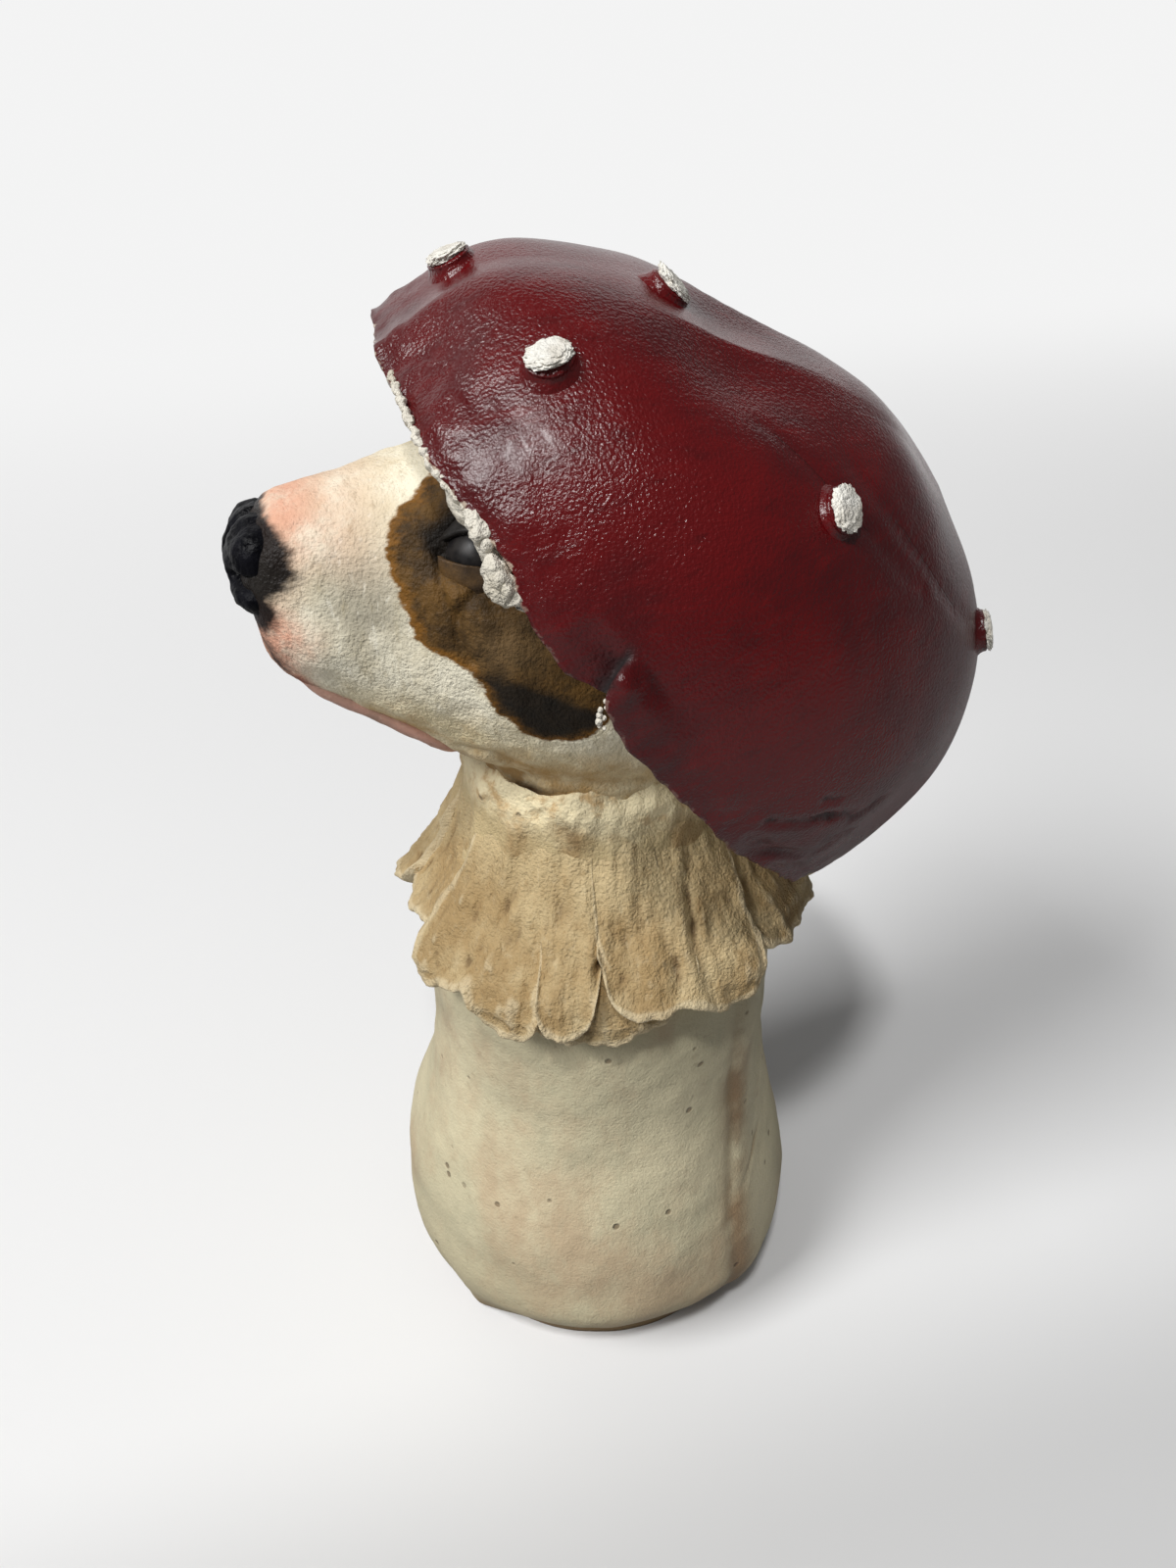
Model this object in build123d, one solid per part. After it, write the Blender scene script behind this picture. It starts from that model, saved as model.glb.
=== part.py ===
from build123d import *
import math
import os

# Clay toadstool whose stem carries a dog's head under a red cap pushed back like a hat.
# Millimetres. The origin is the middle of the foot's resting face, +Z is up,
# the dog looks towards -Y and its left side is +X.

# Clay in general
slip = 0.3                    # layer of slip between two clay pieces
overshoot = 2.0               # how far a cutting shape runs past what it cuts

# Stem, a rolled slab
foot_radius = 35.5
belly_radius = 43.0
belly_height = 18.0
waist_radius = 33.5
waist_height = 76.0
mouth_radius = 24.5
mouth_height = 134.0
neck_radius = 25.0
neck_drop = 11.0              # from the mouth down to the neck
neck_height = mouth_height - neck_drop
shoulder_radius = 32.5
shoulder_drop = 22.0          # from the neck down to the shoulder
shoulder_height = neck_height - shoulder_drop
stem_thickness = 6.0
seam_angle = 27.0             # where the slab's edges lap, from +X towards +Y
seam_width = 2.0
seam_depth = 1.2

# Disc that closes the foot
foot_disc_thickness = 7.0
vent_radius = 4.0
vent_offset = 16.0

# Skirt of torn strips in two layers
skirt_drop = 7.0              # from the stem's mouth down to the strips' upper ends
skirt_top = mouth_height - skirt_drop
strip_thickness = 3.4
skirt_flare = 8.0             # how far the skirt would stand off the stem at the waist
hem_rounding = 0.36           # share of the hem's width that rounds each corner
# angle of the strip's middle, layer (0 lies on the stem), width at the top, width at the hem, length
skirt_strips = [
    (-16.0, 0, 26.0, 38.0, 34.0),
    (56.0, 0, 26.0, 37.0, 28.0),
    (128.0, 0, 26.0, 37.0, 32.0),
    (200.0, 0, 26.0, 37.0, 33.0),
    (272.0, 0, 26.0, 37.0, 29.0),
    (-56.5, 1, 19.0, 26.0, 31.5),
    (-26.0, 1, 9.0, 11.5, 32.0),
    (13.0, 1, 25.0, 33.0, 29.0),
    (92.0, 1, 25.0, 34.0, 31.0),
    (164.0, 1, 25.0, 34.0, 30.0),
    (236.0, 1, 25.0, 34.0, 31.0),
]

# Head: oval sections along a line that rises towards the nose
head_lift = 24.0              # the head's centre above the stem's mouth
head_centre_height = mouth_height + head_lift
head_rise = 17.0              # degrees
head_thickness = 7.0
# distance forward of the centre, top, bottom and half width of each section
head_sections = [
    (59.0, 3.0, -6.0, 5.0),
    (56.0, 8.0, -11.0, 9.5),
    (45.0, 14.9, -18.5, 14.0),
    (37.0, 19.4, -21.5, 17.5),
    (28.0, 24.0, -23.5, 22.0),
    (18.0, 27.0, -25.5, 26.5),
    (5.0, 29.0, -27.0, 29.5),
    (-8.0, 28.0, -25.0, 29.5),
    (-20.0, 22.0, -18.0, 24.0),
    (-28.0, 10.0, -10.0, 13.0),
]
hollow_from = -20.0           # stretch of the head that is hollow
hollow_to = 30.0
neck_seat_radius = 23.5
neck_reach = 18.0             # how far the neck runs up into the skull
spigot_length = 9.0
spigot_wall = 5.0

# Lower jaw
jaw_from = 20.0
jaw_to = 51.0
jaw_share = 0.62              # of the muzzle's half width
jaw_bury = 4.0
jaw_show = 2.4

# Nose
nose_forward = 55.5
nose_up = 2.0
nose_half_width = 8.6
nose_half_height = 7.2
nostril_radius = 1.6
nostril_spacing = 7.4

# Eyes and lids
eye_forward = 28.5
eye_up = 12.5
eye_radius = 5.0
eye_sink = 2.2
lid_thickness = 1.8
lid_opening = 2.4             # half of the gap between the lids

# Cap, a thin shell of a long egg cut by the rim's plane
cap_half_length = 64.4
cap_half_width = 49.0
cap_thickness = 5.0
cap_back = 1.65               # the rim's middle, behind the stem's axis
cap_lift = 1.5                # the rim's middle, above the head's centre
rim_tilt = 54.1               # degrees that the rim leans back
rim_roll = 8.0                # degrees that the near edge is lifted
egg_lean = 25.4               # degrees from the rim's plane to the egg's long axis
dart_angle = 14.0             # dart in the left edge, forward of square across
dart_width = 1.6
dart_depth = 11.0

# Gills
gill_inset = 1.0              # from the rim's plane
gill_thickness = 7.0
groove_count = 40
groove_start = 24.0           # from the rim's middle, inside the head
groove_width = 1.5
groove_depth = 2.6

# Warts: turn round the egg from its back end, and height above its long axis, in degrees
wart_places = [
    (-171.0, 45.0),
    (141.0, 46.5),
    (-176.0, 77.0),
    (79.5, 51.0),
    (29.0, 36.0),
    (-138.0, 42.0),
    (-82.0, 50.0),
    (-108.0, 25.0),
    (-62.0, 14.0),
    (-24.0, 36.0),
]
wart_radius = 4.3
stud_height = 3.2
crown_radius = 4.0
crown_height = 1.5
edge_round = 0.6

os.makedirs("parts", exist_ok=True)


def write(shape, name):
    """Save one piece as its own file."""
    export_step(shape, f"parts/{name}.step")
    print(name, len(shape.solids()), round(shape.volume))


# Stem


def stem_core(inset, flare=0.0):
    """Solid inside the stem's outline drawn in by inset, run straight on past both ends.

    A flare pushes the waist out, for what hangs away from the stem.
    """
    outline = [
        (foot_radius, 0.0),
        (belly_radius, belly_height),
        (waist_radius + flare, waist_height),
        (shoulder_radius, shoulder_height),
        (neck_radius, neck_height),
        (mouth_radius, mouth_height),
    ]
    side = Spline(*[(radius - inset, 0, height) for radius, height in outline])
    ends = Polyline(
        (mouth_radius - inset, 0, mouth_height),
        (mouth_radius - inset, 0, mouth_height + overshoot),
        (0, 0, mouth_height + overshoot),
        (0, 0, -overshoot),
        (foot_radius - inset, 0, -overshoot),
        (foot_radius - inset, 0, 0),
    )
    return revolve(make_face([*side.edges(), *ends.edges()]), Axis.Z)


def stem_slice(inset, height, flare=0.0):
    """The stem's core from the floor up to a height."""
    return stem_core(inset, flare) & Pos(0, 0, height / 2) * Cylinder(2 * belly_radius, height)


def stem_wall():
    """Tube of the rolled slab, with a groove where its edges lap."""
    outside = stem_slice(0.0, mouth_height)
    wall = outside - stem_core(stem_thickness)
    skin = outside - stem_core(seam_depth)
    strip = Pos(belly_radius, 0, mouth_height / 2) * Box(2 * belly_radius, seam_width, mouth_height)
    return wall - (skin & (Rot(Z=seam_angle) * strip))


def foot_disc():
    """Disc inside the foot, with a hole that lets the kiln's hot air out."""
    disc = stem_slice(stem_thickness + slip, foot_disc_thickness)
    vent = Pos(0, vent_offset, 0) * Cylinder(vent_radius, 4 * foot_disc_thickness)
    return disc - vent


# Skirt


def skirt_layer(layer):
    """Full ring that one layer of strips is torn from."""
    inner = -(slip + layer * (strip_thickness + slip))
    ring = stem_slice(inner - strip_thickness, skirt_top, skirt_flare) - stem_core(inner, skirt_flare)
    return ring - stem_core(-slip)


def skirt_strip(ring, angle, top_width, hem_width, length):
    """One tongue of clay, wider at its rounded hem."""
    hem_height = skirt_top - length
    turned = math.radians(angle)
    outward = (math.cos(turned), math.sin(turned), 0)
    along = (-math.sin(turned), math.cos(turned), 0)
    tongue = Polygon(
        (-top_width / 2, skirt_top),
        (-hem_width / 2, hem_height),
        (hem_width / 2, hem_height),
        (top_width / 2, skirt_top),
        align=None,
    )
    hem_corners = tongue.vertices().sort_by(Axis.Y)[:2]
    tongue = fillet(hem_corners, hem_rounding * hem_width)
    prism = extrude(Plane((0, 0, 0), x_dir=along, z_dir=outward) * tongue, 2 * belly_radius)
    return ring & prism


# Head

rise = math.radians(head_rise)
head_forward = Vector(0, -math.cos(rise), math.sin(rise))
head_up = Vector(0, math.sin(rise), math.cos(rise))
head_centre = Vector(0, 0, head_centre_height)


def head_point(forward, up, side=0.0):
    """Point given by its distances forward, up and to the dog's left of the head's centre."""
    return head_centre + head_forward * forward + head_up * up + Vector(side, 0, 0)


def head_section(forward):
    """Top, bottom and half width of the head at a distance forward."""
    pairs = list(zip(head_sections, head_sections[1:]))
    for front, back in pairs:
        if forward >= back[0]:
            break
    share = (forward - back[0]) / (front[0] - back[0])
    return [b + share * (f - b) for f, b in zip(front[1:], back[1:])]


def oval(forward, top, bottom, half_width):
    """Oval face across the head."""
    middle = head_point(forward, (top + bottom) / 2)
    return Plane(middle, x_dir=(1, 0, 0), z_dir=head_forward) * Ellipse(half_width, (top - bottom) / 2)


def head_loft(inset, start, end):
    """Solid through the head's sections between two stations, drawn in by inset."""
    ovals = []
    for forward, top, bottom, half_width in head_sections:
        if start <= forward <= end:
            ovals.append(oval(forward, top - inset, bottom + inset, half_width - inset))
    return loft(ovals)


def head_solid():
    """Skull and muzzle on the neck, before hollowing, cut flat where it stands on the stem."""
    skull = head_loft(0.0, head_sections[-1][0], head_sections[0][0])
    neck = Pos(0, 0, mouth_height + neck_reach / 2) * Cylinder(neck_seat_radius, neck_reach)
    stem_room = Pos(0, 0, mouth_height / 2) * Box(4 * belly_radius, 4 * belly_radius, mouth_height)
    return (skull + neck) - stem_room


def head_shell(solid):
    """Hollow head with the spigot that drops into the stem's mouth and the two eye sockets."""
    spigot_radius = mouth_radius - stem_thickness - slip
    spigot = Pos(0, 0, mouth_height - spigot_length / 2) * Cylinder(spigot_radius, spigot_length)
    bore_height = spigot_length + overshoot + neck_reach
    bore = Pos(0, 0, mouth_height + neck_reach - bore_height / 2)
    bore = bore * Cylinder(spigot_radius - spigot_wall, bore_height)
    shell = solid + spigot - head_loft(head_thickness, hollow_from, hollow_to) - bore
    for side in (1, -1):
        shell = shell - eye_place(side) * Sphere(eye_radius + slip)
    return shell


def eye_place(side):
    """Frame at an eyeball's centre: Z looks out of the head and Y points up the face."""
    top, bottom, half_width = head_section(eye_forward)
    middle = (top + bottom) / 2
    half_height = (top - bottom) / 2
    rise_share = (eye_up - middle) / half_height
    reach = half_width * math.sqrt(1 - rise_share**2)
    slope = (head_section(eye_forward - eye_radius)[2] - half_width) / eye_radius
    outward = Vector(side / half_width * reach / half_width, 0, 0)
    outward = outward + head_up * (rise_share / half_height) + head_forward * (slope / half_width)
    outward = outward.normalized()
    middle_point = head_point(eye_forward, eye_up, side * reach) - outward * eye_sink
    return Plane(middle_point, x_dir=head_up.cross(outward), z_dir=outward)


def eyelid(side, solid, upper):
    """Half ring of clay over or under the eyeball, cut to sit on the face."""
    inner = Sphere(eye_radius + slip)
    outer = Sphere(eye_radius + slip + lid_thickness)
    reach = 4 * eye_radius
    shift = (lid_opening + reach / 2) * (1 if upper else -1)
    half = Pos(0, shift, 0) * Box(reach, reach, reach)
    return eye_place(side) * ((outer - inner) & half) - solid


def lower_jaw(solid):
    """Strip of clay that follows the muzzle's underside."""
    ovals = []
    for share in (0.0, 0.4, 0.8, 1.0):
        forward = jaw_from + share * (jaw_to - jaw_from)
        bottom, half_width = head_section(forward)[1:]
        ovals.append(oval(forward, bottom + jaw_bury, bottom - jaw_show, jaw_share * half_width))
    return loft(ovals) - solid


def nose(solid):
    """Pad over the muzzle's end, with two nostrils."""
    pad = Rot(Z=90) * egg(nose_half_width, nose_half_height)
    frame = Plane(head_point(nose_forward, nose_up), x_dir=(1, 0, 0), z_dir=head_forward)
    for side in (1, -1):
        place = Pos(side * nostril_spacing / 2, 0, nose_half_height)
        pad = pad - place * Sphere(nostril_radius)
    return frame * pad - solid


# Cap


def egg(half_length, half_width):
    """Egg-shaped solid, long along Y."""
    arc = EllipticalCenterArc((0, 0), half_length, half_width, arc_size=180)
    return Rot(Z=90) * revolve(make_face([arc, Line(arc @ 1, arc @ 0)]), Axis.X)


def rim_frame():
    """Frame in the rim's plane: X to the dog's left, Y towards the back edge, Z up into the dome."""
    tilt = math.radians(rim_tilt)
    back_edge = Vector(0, math.cos(tilt), -math.sin(tilt))
    middle = (0, cap_back, head_centre_height + cap_lift)
    flat = Plane(middle, x_dir=(1, 0, 0), z_dir=Vector(1, 0, 0).cross(back_edge))
    return Location(flat) * Rot(Y=rim_roll)


rim = rim_frame()
egg_frame = rim * Rot(X=egg_lean)


def above_rim(start, height):
    """Slab parallel to the rim, big enough to span the cap."""
    span = 4 * cap_half_length
    return rim * (Pos(0, 0, start + height / 2) * Box(span, span, height))


def cap_egg(inset):
    """The cap's egg, drawn in by inset."""
    return egg_frame * egg(cap_half_length - inset, cap_half_width - inset)


def cap_shell():
    """Dome with a thin wall, open below, with a dart in its left edge."""
    dome = (cap_egg(0.0) - cap_egg(cap_thickness)) & above_rim(0.0, 2 * cap_half_length)
    cutter = Pos(cap_half_width, 0, 0) * Box(cap_half_width, dart_width, 2 * dart_depth)
    return dome - rim * (Rot(Z=-dart_angle) * cutter)


def gill_lining(head, skirt_clear):
    """Ridged ring between the cap's edge and the head."""
    ring = cap_egg(cap_thickness + slip) & above_rim(gill_inset, gill_thickness)
    ring = ring - head - skirt_clear
    groove = Pos(groove_start + cap_half_length / 2, 0, gill_inset)
    groove = groove * Box(cap_half_length, groove_width, 2 * groove_depth)
    return ring - [rim * Rot(Z=360 * step / groove_count) * groove for step in range(groove_count)]


def wart_frame(turn, height):
    """Frame on the cap's skin, Z straight out of it."""
    turn = math.radians(turn)
    height = math.radians(height)
    sideways = math.cos(height) * math.sin(turn)
    lengthways = math.cos(height) * math.cos(turn)
    upward = math.sin(height)
    spot = Vector(sideways * cap_half_width, lengthways * cap_half_length, upward * cap_half_width)
    outward = Vector(sideways / cap_half_width, lengthways / cap_half_length, upward / cap_half_width)
    return egg_frame * Location(Plane(spot, z_dir=outward))


def wart_stud(frame, cap_skin):
    """Red stud whose foot follows the dome."""
    root = Pos(0, 0, (stud_height - wart_radius) / 2) * Rot(Z=45)
    stud = root * Cylinder(wart_radius, stud_height + wart_radius)
    stud = fillet(stud.edges().sort_by(Axis.Z)[-1], edge_round)
    return frame * stud - cap_skin


def wart_crown(frame):
    """White cap on a stud."""
    crown = Pos(0, 0, stud_height + crown_height / 2) * Cylinder(crown_radius, crown_height)
    crown = fillet(crown.edges().sort_by(Axis.Z)[-1], edge_round)
    return frame * crown


# Write every piece

write(stem_wall(), "stem_wall")
write(foot_disc(), "foot_disc")

rings = [skirt_layer(0), skirt_layer(1)]
cap_room = cap_egg(-slip) & above_rim(-slip, 2 * cap_half_length)
for number, (angle, layer, top_width, hem_width, length) in enumerate(skirt_strips, 1):
    strip = skirt_strip(rings[layer], angle, top_width, hem_width, length)
    write(strip - cap_room, f"skirt_strip_{number:02d}")

head = head_solid()
write(head_shell(head), "head_shell")
write(lower_jaw(head), "lower_jaw")
write(nose(head), "nose")
for side, word in ((1, "left"), (-1, "right")):
    write(eye_place(side) * Sphere(eye_radius), f"{word}_eye")
    write(eyelid(side, head, True), f"{word}_upper_eyelid")
    write(eyelid(side, head, False), f"{word}_lower_eyelid")

write(cap_shell(), "cap_shell")
skirt_clear = stem_slice(-2 * (strip_thickness + slip) - slip, mouth_height)
write(gill_lining(head, skirt_clear), "gill_lining")

cap_skin = cap_egg(-slip)
for number, (turn, height) in enumerate(wart_places, 1):
    frame = wart_frame(turn, height)
    write(wart_stud(frame, cap_skin), f"wart_stud_{number:02d}")
    write(wart_crown(frame), f"wart_crown_{number:02d}")
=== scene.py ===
# %% [markdown]
# # A clay toadstool with a dog's head
# The ornament is hand-built clay, fired and painted: a rolled stem, a skirt of torn strips, a dog's
# head pushed into the stem's mouth, and a red cap worn like a hat. Every piece was soft once, so
# almost nothing on it is straight or even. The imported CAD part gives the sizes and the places, and
# this lesson replaces its smooth solids with sculpted ones, one piece at a time.

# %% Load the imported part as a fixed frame
from math import cos, pi, radians, sin

import bmesh
import bpy
import numpy as np
from bmesh.types import BMEdge, BMVert
from mathutils import Matrix, Vector, noise


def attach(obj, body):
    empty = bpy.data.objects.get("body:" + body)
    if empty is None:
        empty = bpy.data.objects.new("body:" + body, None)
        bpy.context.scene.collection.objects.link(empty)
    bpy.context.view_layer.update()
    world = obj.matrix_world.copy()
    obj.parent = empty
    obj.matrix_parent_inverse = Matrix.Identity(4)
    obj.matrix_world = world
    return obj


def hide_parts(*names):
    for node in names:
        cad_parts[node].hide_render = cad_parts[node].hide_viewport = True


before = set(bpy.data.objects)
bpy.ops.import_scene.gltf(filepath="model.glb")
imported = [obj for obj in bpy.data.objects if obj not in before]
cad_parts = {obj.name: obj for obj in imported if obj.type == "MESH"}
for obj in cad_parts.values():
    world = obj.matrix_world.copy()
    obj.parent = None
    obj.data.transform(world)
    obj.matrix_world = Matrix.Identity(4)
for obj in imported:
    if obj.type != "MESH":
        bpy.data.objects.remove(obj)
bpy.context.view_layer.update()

scene = bpy.context.scene
scene.view_settings.view_transform = "Standard"

# %% [markdown]
# ## Camera
# The photo was taken with a phone held close, a little above the ornament and tilted down by 35
# degrees. A close wide view makes the foot look small and the cap large, so the distance matters
# as much as the direction. The place was found by lining up the CAD part with the photo.

# %% Camera
camera = bpy.data.objects.new("camera", bpy.data.cameras.new("camera"))
camera.location = (0.1655, -0.0475, 0.2442)
camera.rotation_euler = (radians(55), 0, radians(74.738))
camera.data.sensor_width = 36
camera.data.lens = 26.55
camera.data.clip_start = 0.01
scene.collection.objects.link(camera)
scene.camera = camera
print("camera looks from", tuple(camera.location))

# %% [markdown]
# ## Wires
# Every finish is built from nodes on Object coordinates, so it stays on the clay from any side. Wired
# link by link it would be hard to read, so an output socket is wrapped to take part in sums: a * 0.6
# adds a Math node that multiplies. A finish then reads from top to bottom, coat over coat.

# %% Sockets that add and multiply
class Wire:
    def __init__(self, socket):
        self.socket = socket
        self.tree = socket.id_data

    def other(self, name):
        return Wire(self.socket.node.outputs[name])

    def sums(self, operation, value):
        return node(self.tree, "Math", self, value, settings={"operation": operation})

    def __add__(self, value):
        return self.sums("ADD", value)

    def __sub__(self, value):
        return self.sums("SUBTRACT", value)

    def __mul__(self, value):
        return self.sums("MULTIPLY", value)

    def __truediv__(self, value):
        return self.sums("DIVIDE", value)

def feed(socket, value):
    if isinstance(value, Wire):
        value.tree.links.new(value.socket, socket)
    else:
        socket.default_value = value

def node(tree, kind, *first, out=0, settings=(), **named):
    made = tree.nodes.new("ShaderNode" + kind)
    for key, value in dict(settings).items():
        setattr(made, key, value)
    for index, value in enumerate(first):
        feed(made.inputs[index], value)
    for key, value in named.items():
        feed(made.inputs[key], value)
    return Wire(made.outputs[out])

# %% Words for paint
def srgb(*levels):
    shares = [level / 255 for level in levels]
    return tuple(c / 12.92 if c <= 0.04 else ((c + 0.055) / 1.055) ** 2.4 for c in shares) + (1,)

def mixed(share, under, over):
    blend = node(share.tree, "Mix", share, out=2, settings={"data_type": "RGBA"})
    for index, colour in ((6, under), (7, over)):
        feed(blend.socket.node.inputs[index], colour if isinstance(colour, Wire) else srgb(*colour))
    return blend

def window(value, low, high, start=0.0, end=1.0):
    smooth = {"interpolation_type": "SMOOTHSTEP"}
    return node(value.tree, "MapRange", value, low, high, start, end, settings=smooth)

def grain(vector, scale, detail=3.0, roughness=0.5):
    return node(vector.tree, "TexNoise", Vector=vector, Scale=scale, Detail=detail, Roughness=roughness)

def stretched(vector, scale, turn=(0, 0, 0)):
    return node(vector.tree, "Mapping", vector, (0, 0, 0), turn, scale)

def mask(tree, name):
    return node(tree, "Attribute", out="Fac", settings={"attribute_name": name})

def new_finish(name):
    material = bpy.data.materials.new(name)
    material.use_nodes = True
    tree = material.node_tree
    return material, tree, tree.nodes["Principled BSDF"], node(tree, "TexCoord", out="Object")

def fired(shader, colour, roughness, height, depth, strength, specular=0.5):
    feed(shader.inputs["Base Color"], colour)
    feed(shader.inputs["Roughness"], roughness)
    shader.inputs["Specular IOR Level"].default_value = specular
    bump = node(height.tree, "Bump", Strength=strength, Distance=depth, Height=height)
    feed(shader.inputs["Normal"], bump)

# %% [markdown]
# ## Studio
# One large soft lamp stands to the left and in front of the ornament and throws the soft shadow to
# the right. A second one overhead gives the broad gleam on the cap, and the world fills the rest.
# Their strengths add up to about 1 on a level white sheet, so colours render as they are written.
# The paper is white to the camera and greyer to bounced light, so that the shaded side stays dark as
# in the photo, and far behind the ornament it glows a little to keep the background white.

# %% Floor that sweeps up into a backdrop
def only(kind, geom):
    return [g for g in geom if isinstance(g, kind)]

paper_half, paper_rise, paper_bend = 1.6, 2.2, 0.9
bm = bmesh.new()
bmesh.ops.create_grid(bm, x_segments=1, y_segments=1, size=paper_half)
far_edge = [e for e in bm.edges if all(v.co.x < 0.1 - paper_half for v in e.verts)]
wall = bmesh.ops.extrude_edge_only(bm, edges=far_edge)["geom"]
bmesh.ops.translate(bm, vec=(0, 0, paper_rise), verts=only(BMVert, wall))
corner = [e for e in bm.edges if all(v.co.x < 0.1 - paper_half and v.co.z < 0.1 for v in e.verts)]
bmesh.ops.bevel(bm, geom=corner, offset=paper_bend, segments=24, profile=0.5, affect="EDGES", material=-1)
floor_mesh = bpy.data.meshes.new("paper_sweep")
bm.to_mesh(floor_mesh)
bm.free()
floor_mesh.shade_smooth()
floor = bpy.data.objects.new("paper_sweep", floor_mesh)
scene.collection.objects.link(floor)
print("paper sweep", len(floor_mesh.polygons), "faces")

# %% Paper
paper, tree, white, spot = new_finish("white_paper")
behind = node(tree, "SeparateXYZ", spot)
# Towards the camera the paper's colour is painted darker: a painted shadow of the camera.
feed(white.inputs["Base Color"], window(behind, 0.025, 0.085, 0.86, 0.62))
white.inputs["Roughness"].default_value = 0.8
grey = node(tree, "BsdfDiffuse", (0.32, 0.32, 0.32, 1))
glow = node(tree, "Emission", (0.9, 0.9, 0.9, 1))
to_camera = node(tree, "LightPath", out="Is Camera Ray")
seen = to_camera.sums("MAXIMUM", to_camera.other("Is Glossy Ray"))
near_look = node(tree, "MixShader", to_camera, grey, Wire(white.outputs[0]))
far_look = node(tree, "MixShader", window(behind, -0.15, -0.8) * seen, near_look, glow)
feed(tree.nodes["Material Output"].inputs["Surface"], far_look)
floor_mesh.materials.append(paper)
print("paper wired with", len(tree.nodes), "nodes")

# %% Lamps
def soft_lamp(name, direction, distance, size, power):
    lamp = bpy.data.objects.new(name, bpy.data.lights.new(name, "AREA"))
    lamp.data.size = size
    lamp.data.energy = power
    aim = Vector((0, 0, 0.12))
    lamp.location = aim + Vector(direction).normalized() * distance
    lamp.rotation_euler = (aim - lamp.location).to_track_quat("-Z", "Y").to_euler()
    scene.collection.objects.link(lamp)

soft_lamp("window_lamp", (0.21, -0.67, 0.72), 3.0, 1.1, 70)
soft_lamp("overhead_lamp", (0.39, -0.20, 0.90), 2.5, 0.2, 24)
scene.world = bpy.data.worlds.new("white_room")
scene.world.use_nodes = True
fill = scene.world.node_tree.nodes["Background"].inputs
fill["Color"].default_value = (1, 1, 1, 1)
fill["Strength"].default_value = 0.12

# %% [markdown]
# ## Sculpting helpers
# Clay is sculpted by moving points, so most pieces start as an operator's plain shape whose points
# are then placed by a short rule. Sizes are in millimetres until a piece is finished. Hollows matter
# for paint, because a brown wash stays in them, so each clay piece also keeps a measure of them.

# %% Moving points
def gather(bm):
    return np.array([v.co for v in bm.verts])

def place(bm, points):
    for vert, point in zip(bm.verts, points):
        vert.co = point

def normals_of(bm):
    bm.normal_update()
    return np.array([v.normal for v in bm.verts])

def rough(points, size, seed=0, octaves=3):
    shift = np.array((7.3, 3.1, 5.7)) * (seed + 1)
    return np.array([noise.fractal(p, 1.0, 2.0, octaves) for p in (points / size + shift).tolist()])

def ease(x):
    x = np.clip(x, 0, 1)
    return x * x * (3 - 2 * x)

def bell(x, reach):
    return np.exp(-(x / reach) ** 2)

def blob(*away):
    return np.exp(-sum(a ** 2 for a in away))

def turn_of(points):
    return np.degrees(np.arctan2(points[:, 1], points[:, 0]))

def on_circle(turn, radius, z):
    return np.stack([radius * np.cos(np.radians(turn)), radius * np.sin(np.radians(turn)), z], 1)

def smooth_curve(xs, ys):
    xs, ys = np.array(xs, float), np.array(ys, float)
    slope = np.gradient(ys, xs)
    def at(x):
        i = np.clip(np.searchsorted(xs, x) - 1, 0, len(xs) - 2)
        h = xs[i + 1] - xs[i]
        t = np.clip((x - xs[i]) / h, 0, 1)
        start = (1 + 2 * t) * (1 - t) ** 2 * ys[i] + t * (1 - t) ** 2 * h * slope[i]
        return start + t * t * (3 - 2 * t) * ys[i + 1] + t * t * (t - 1) * h * slope[i + 1]
    return at

# %% Working the whole lump
def to_mesh(bm):
    bmesh.ops.scale(bm, vec=(0.001,) * 3, verts=bm.verts)
    bm.normal_update()
    mesh = bpy.data.meshes.new("clay")
    bm.to_mesh(mesh)
    bm.free()
    return mesh

def kneaded(bm, voxel):
    lump = bpy.data.objects.new("lump", to_mesh(bm))
    scene.collection.objects.link(lump)
    remesh = lump.modifiers.new("knead", "REMESH")
    remesh.mode = "VOXEL"
    remesh.voxel_size = voxel * 0.001
    bpy.context.view_layer.update()
    mesh = bpy.data.meshes.new_from_object(lump.evaluated_get(bpy.context.evaluated_depsgraph_get()))
    bpy.data.objects.remove(lump)
    soft = bmesh.new()
    soft.from_mesh(mesh)
    bmesh.ops.scale(soft, vec=(1000,) * 3, verts=soft.verts)
    bpy.data.meshes.remove(mesh)
    return soft

def soften(bm, rounds, where=lambda vert: True):
    for _ in range(rounds):
        bmesh.ops.smooth_vert(bm, verts=[v for v in bm.verts if where(v)], factor=0.5,
                              use_axis_x=True, use_axis_y=True, use_axis_z=True)

def spun(bm, steps, merge):
    bmesh.ops.spin(bm, geom=bm.verts[:] + bm.edges[:], axis=(0, 0, 1), cent=(0, 0, 0), angle=2 * pi,
                   steps=steps, use_merge=True)
    bmesh.ops.remove_doubles(bm, verts=bm.verts, dist=merge)

def cut_off(bm, at, facing, dist=0.0):
    whole = bm.verts[:] + bm.edges[:] + bm.faces[:]
    bmesh.ops.bisect_plane(bm, geom=whole, plane_co=at, plane_no=facing, clear_outer=True, dist=dist)

def face_out(bm, towards=None):
    bmesh.ops.recalc_face_normals(bm, faces=bm.faces)
    if towards and sum(f.normal.dot(towards) * f.calc_area() for f in bm.faces) < 0:
        bmesh.ops.reverse_faces(bm, faces=bm.faces)

# %% Finishing a piece
def keep_masks(mesh, **masks):
    for name, values in masks.items():
        kept = mesh.attributes.new(name, "FLOAT", "POINT").data
        kept.foreach_set("value", np.full(len(mesh.vertices), values, np.float32))

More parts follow.
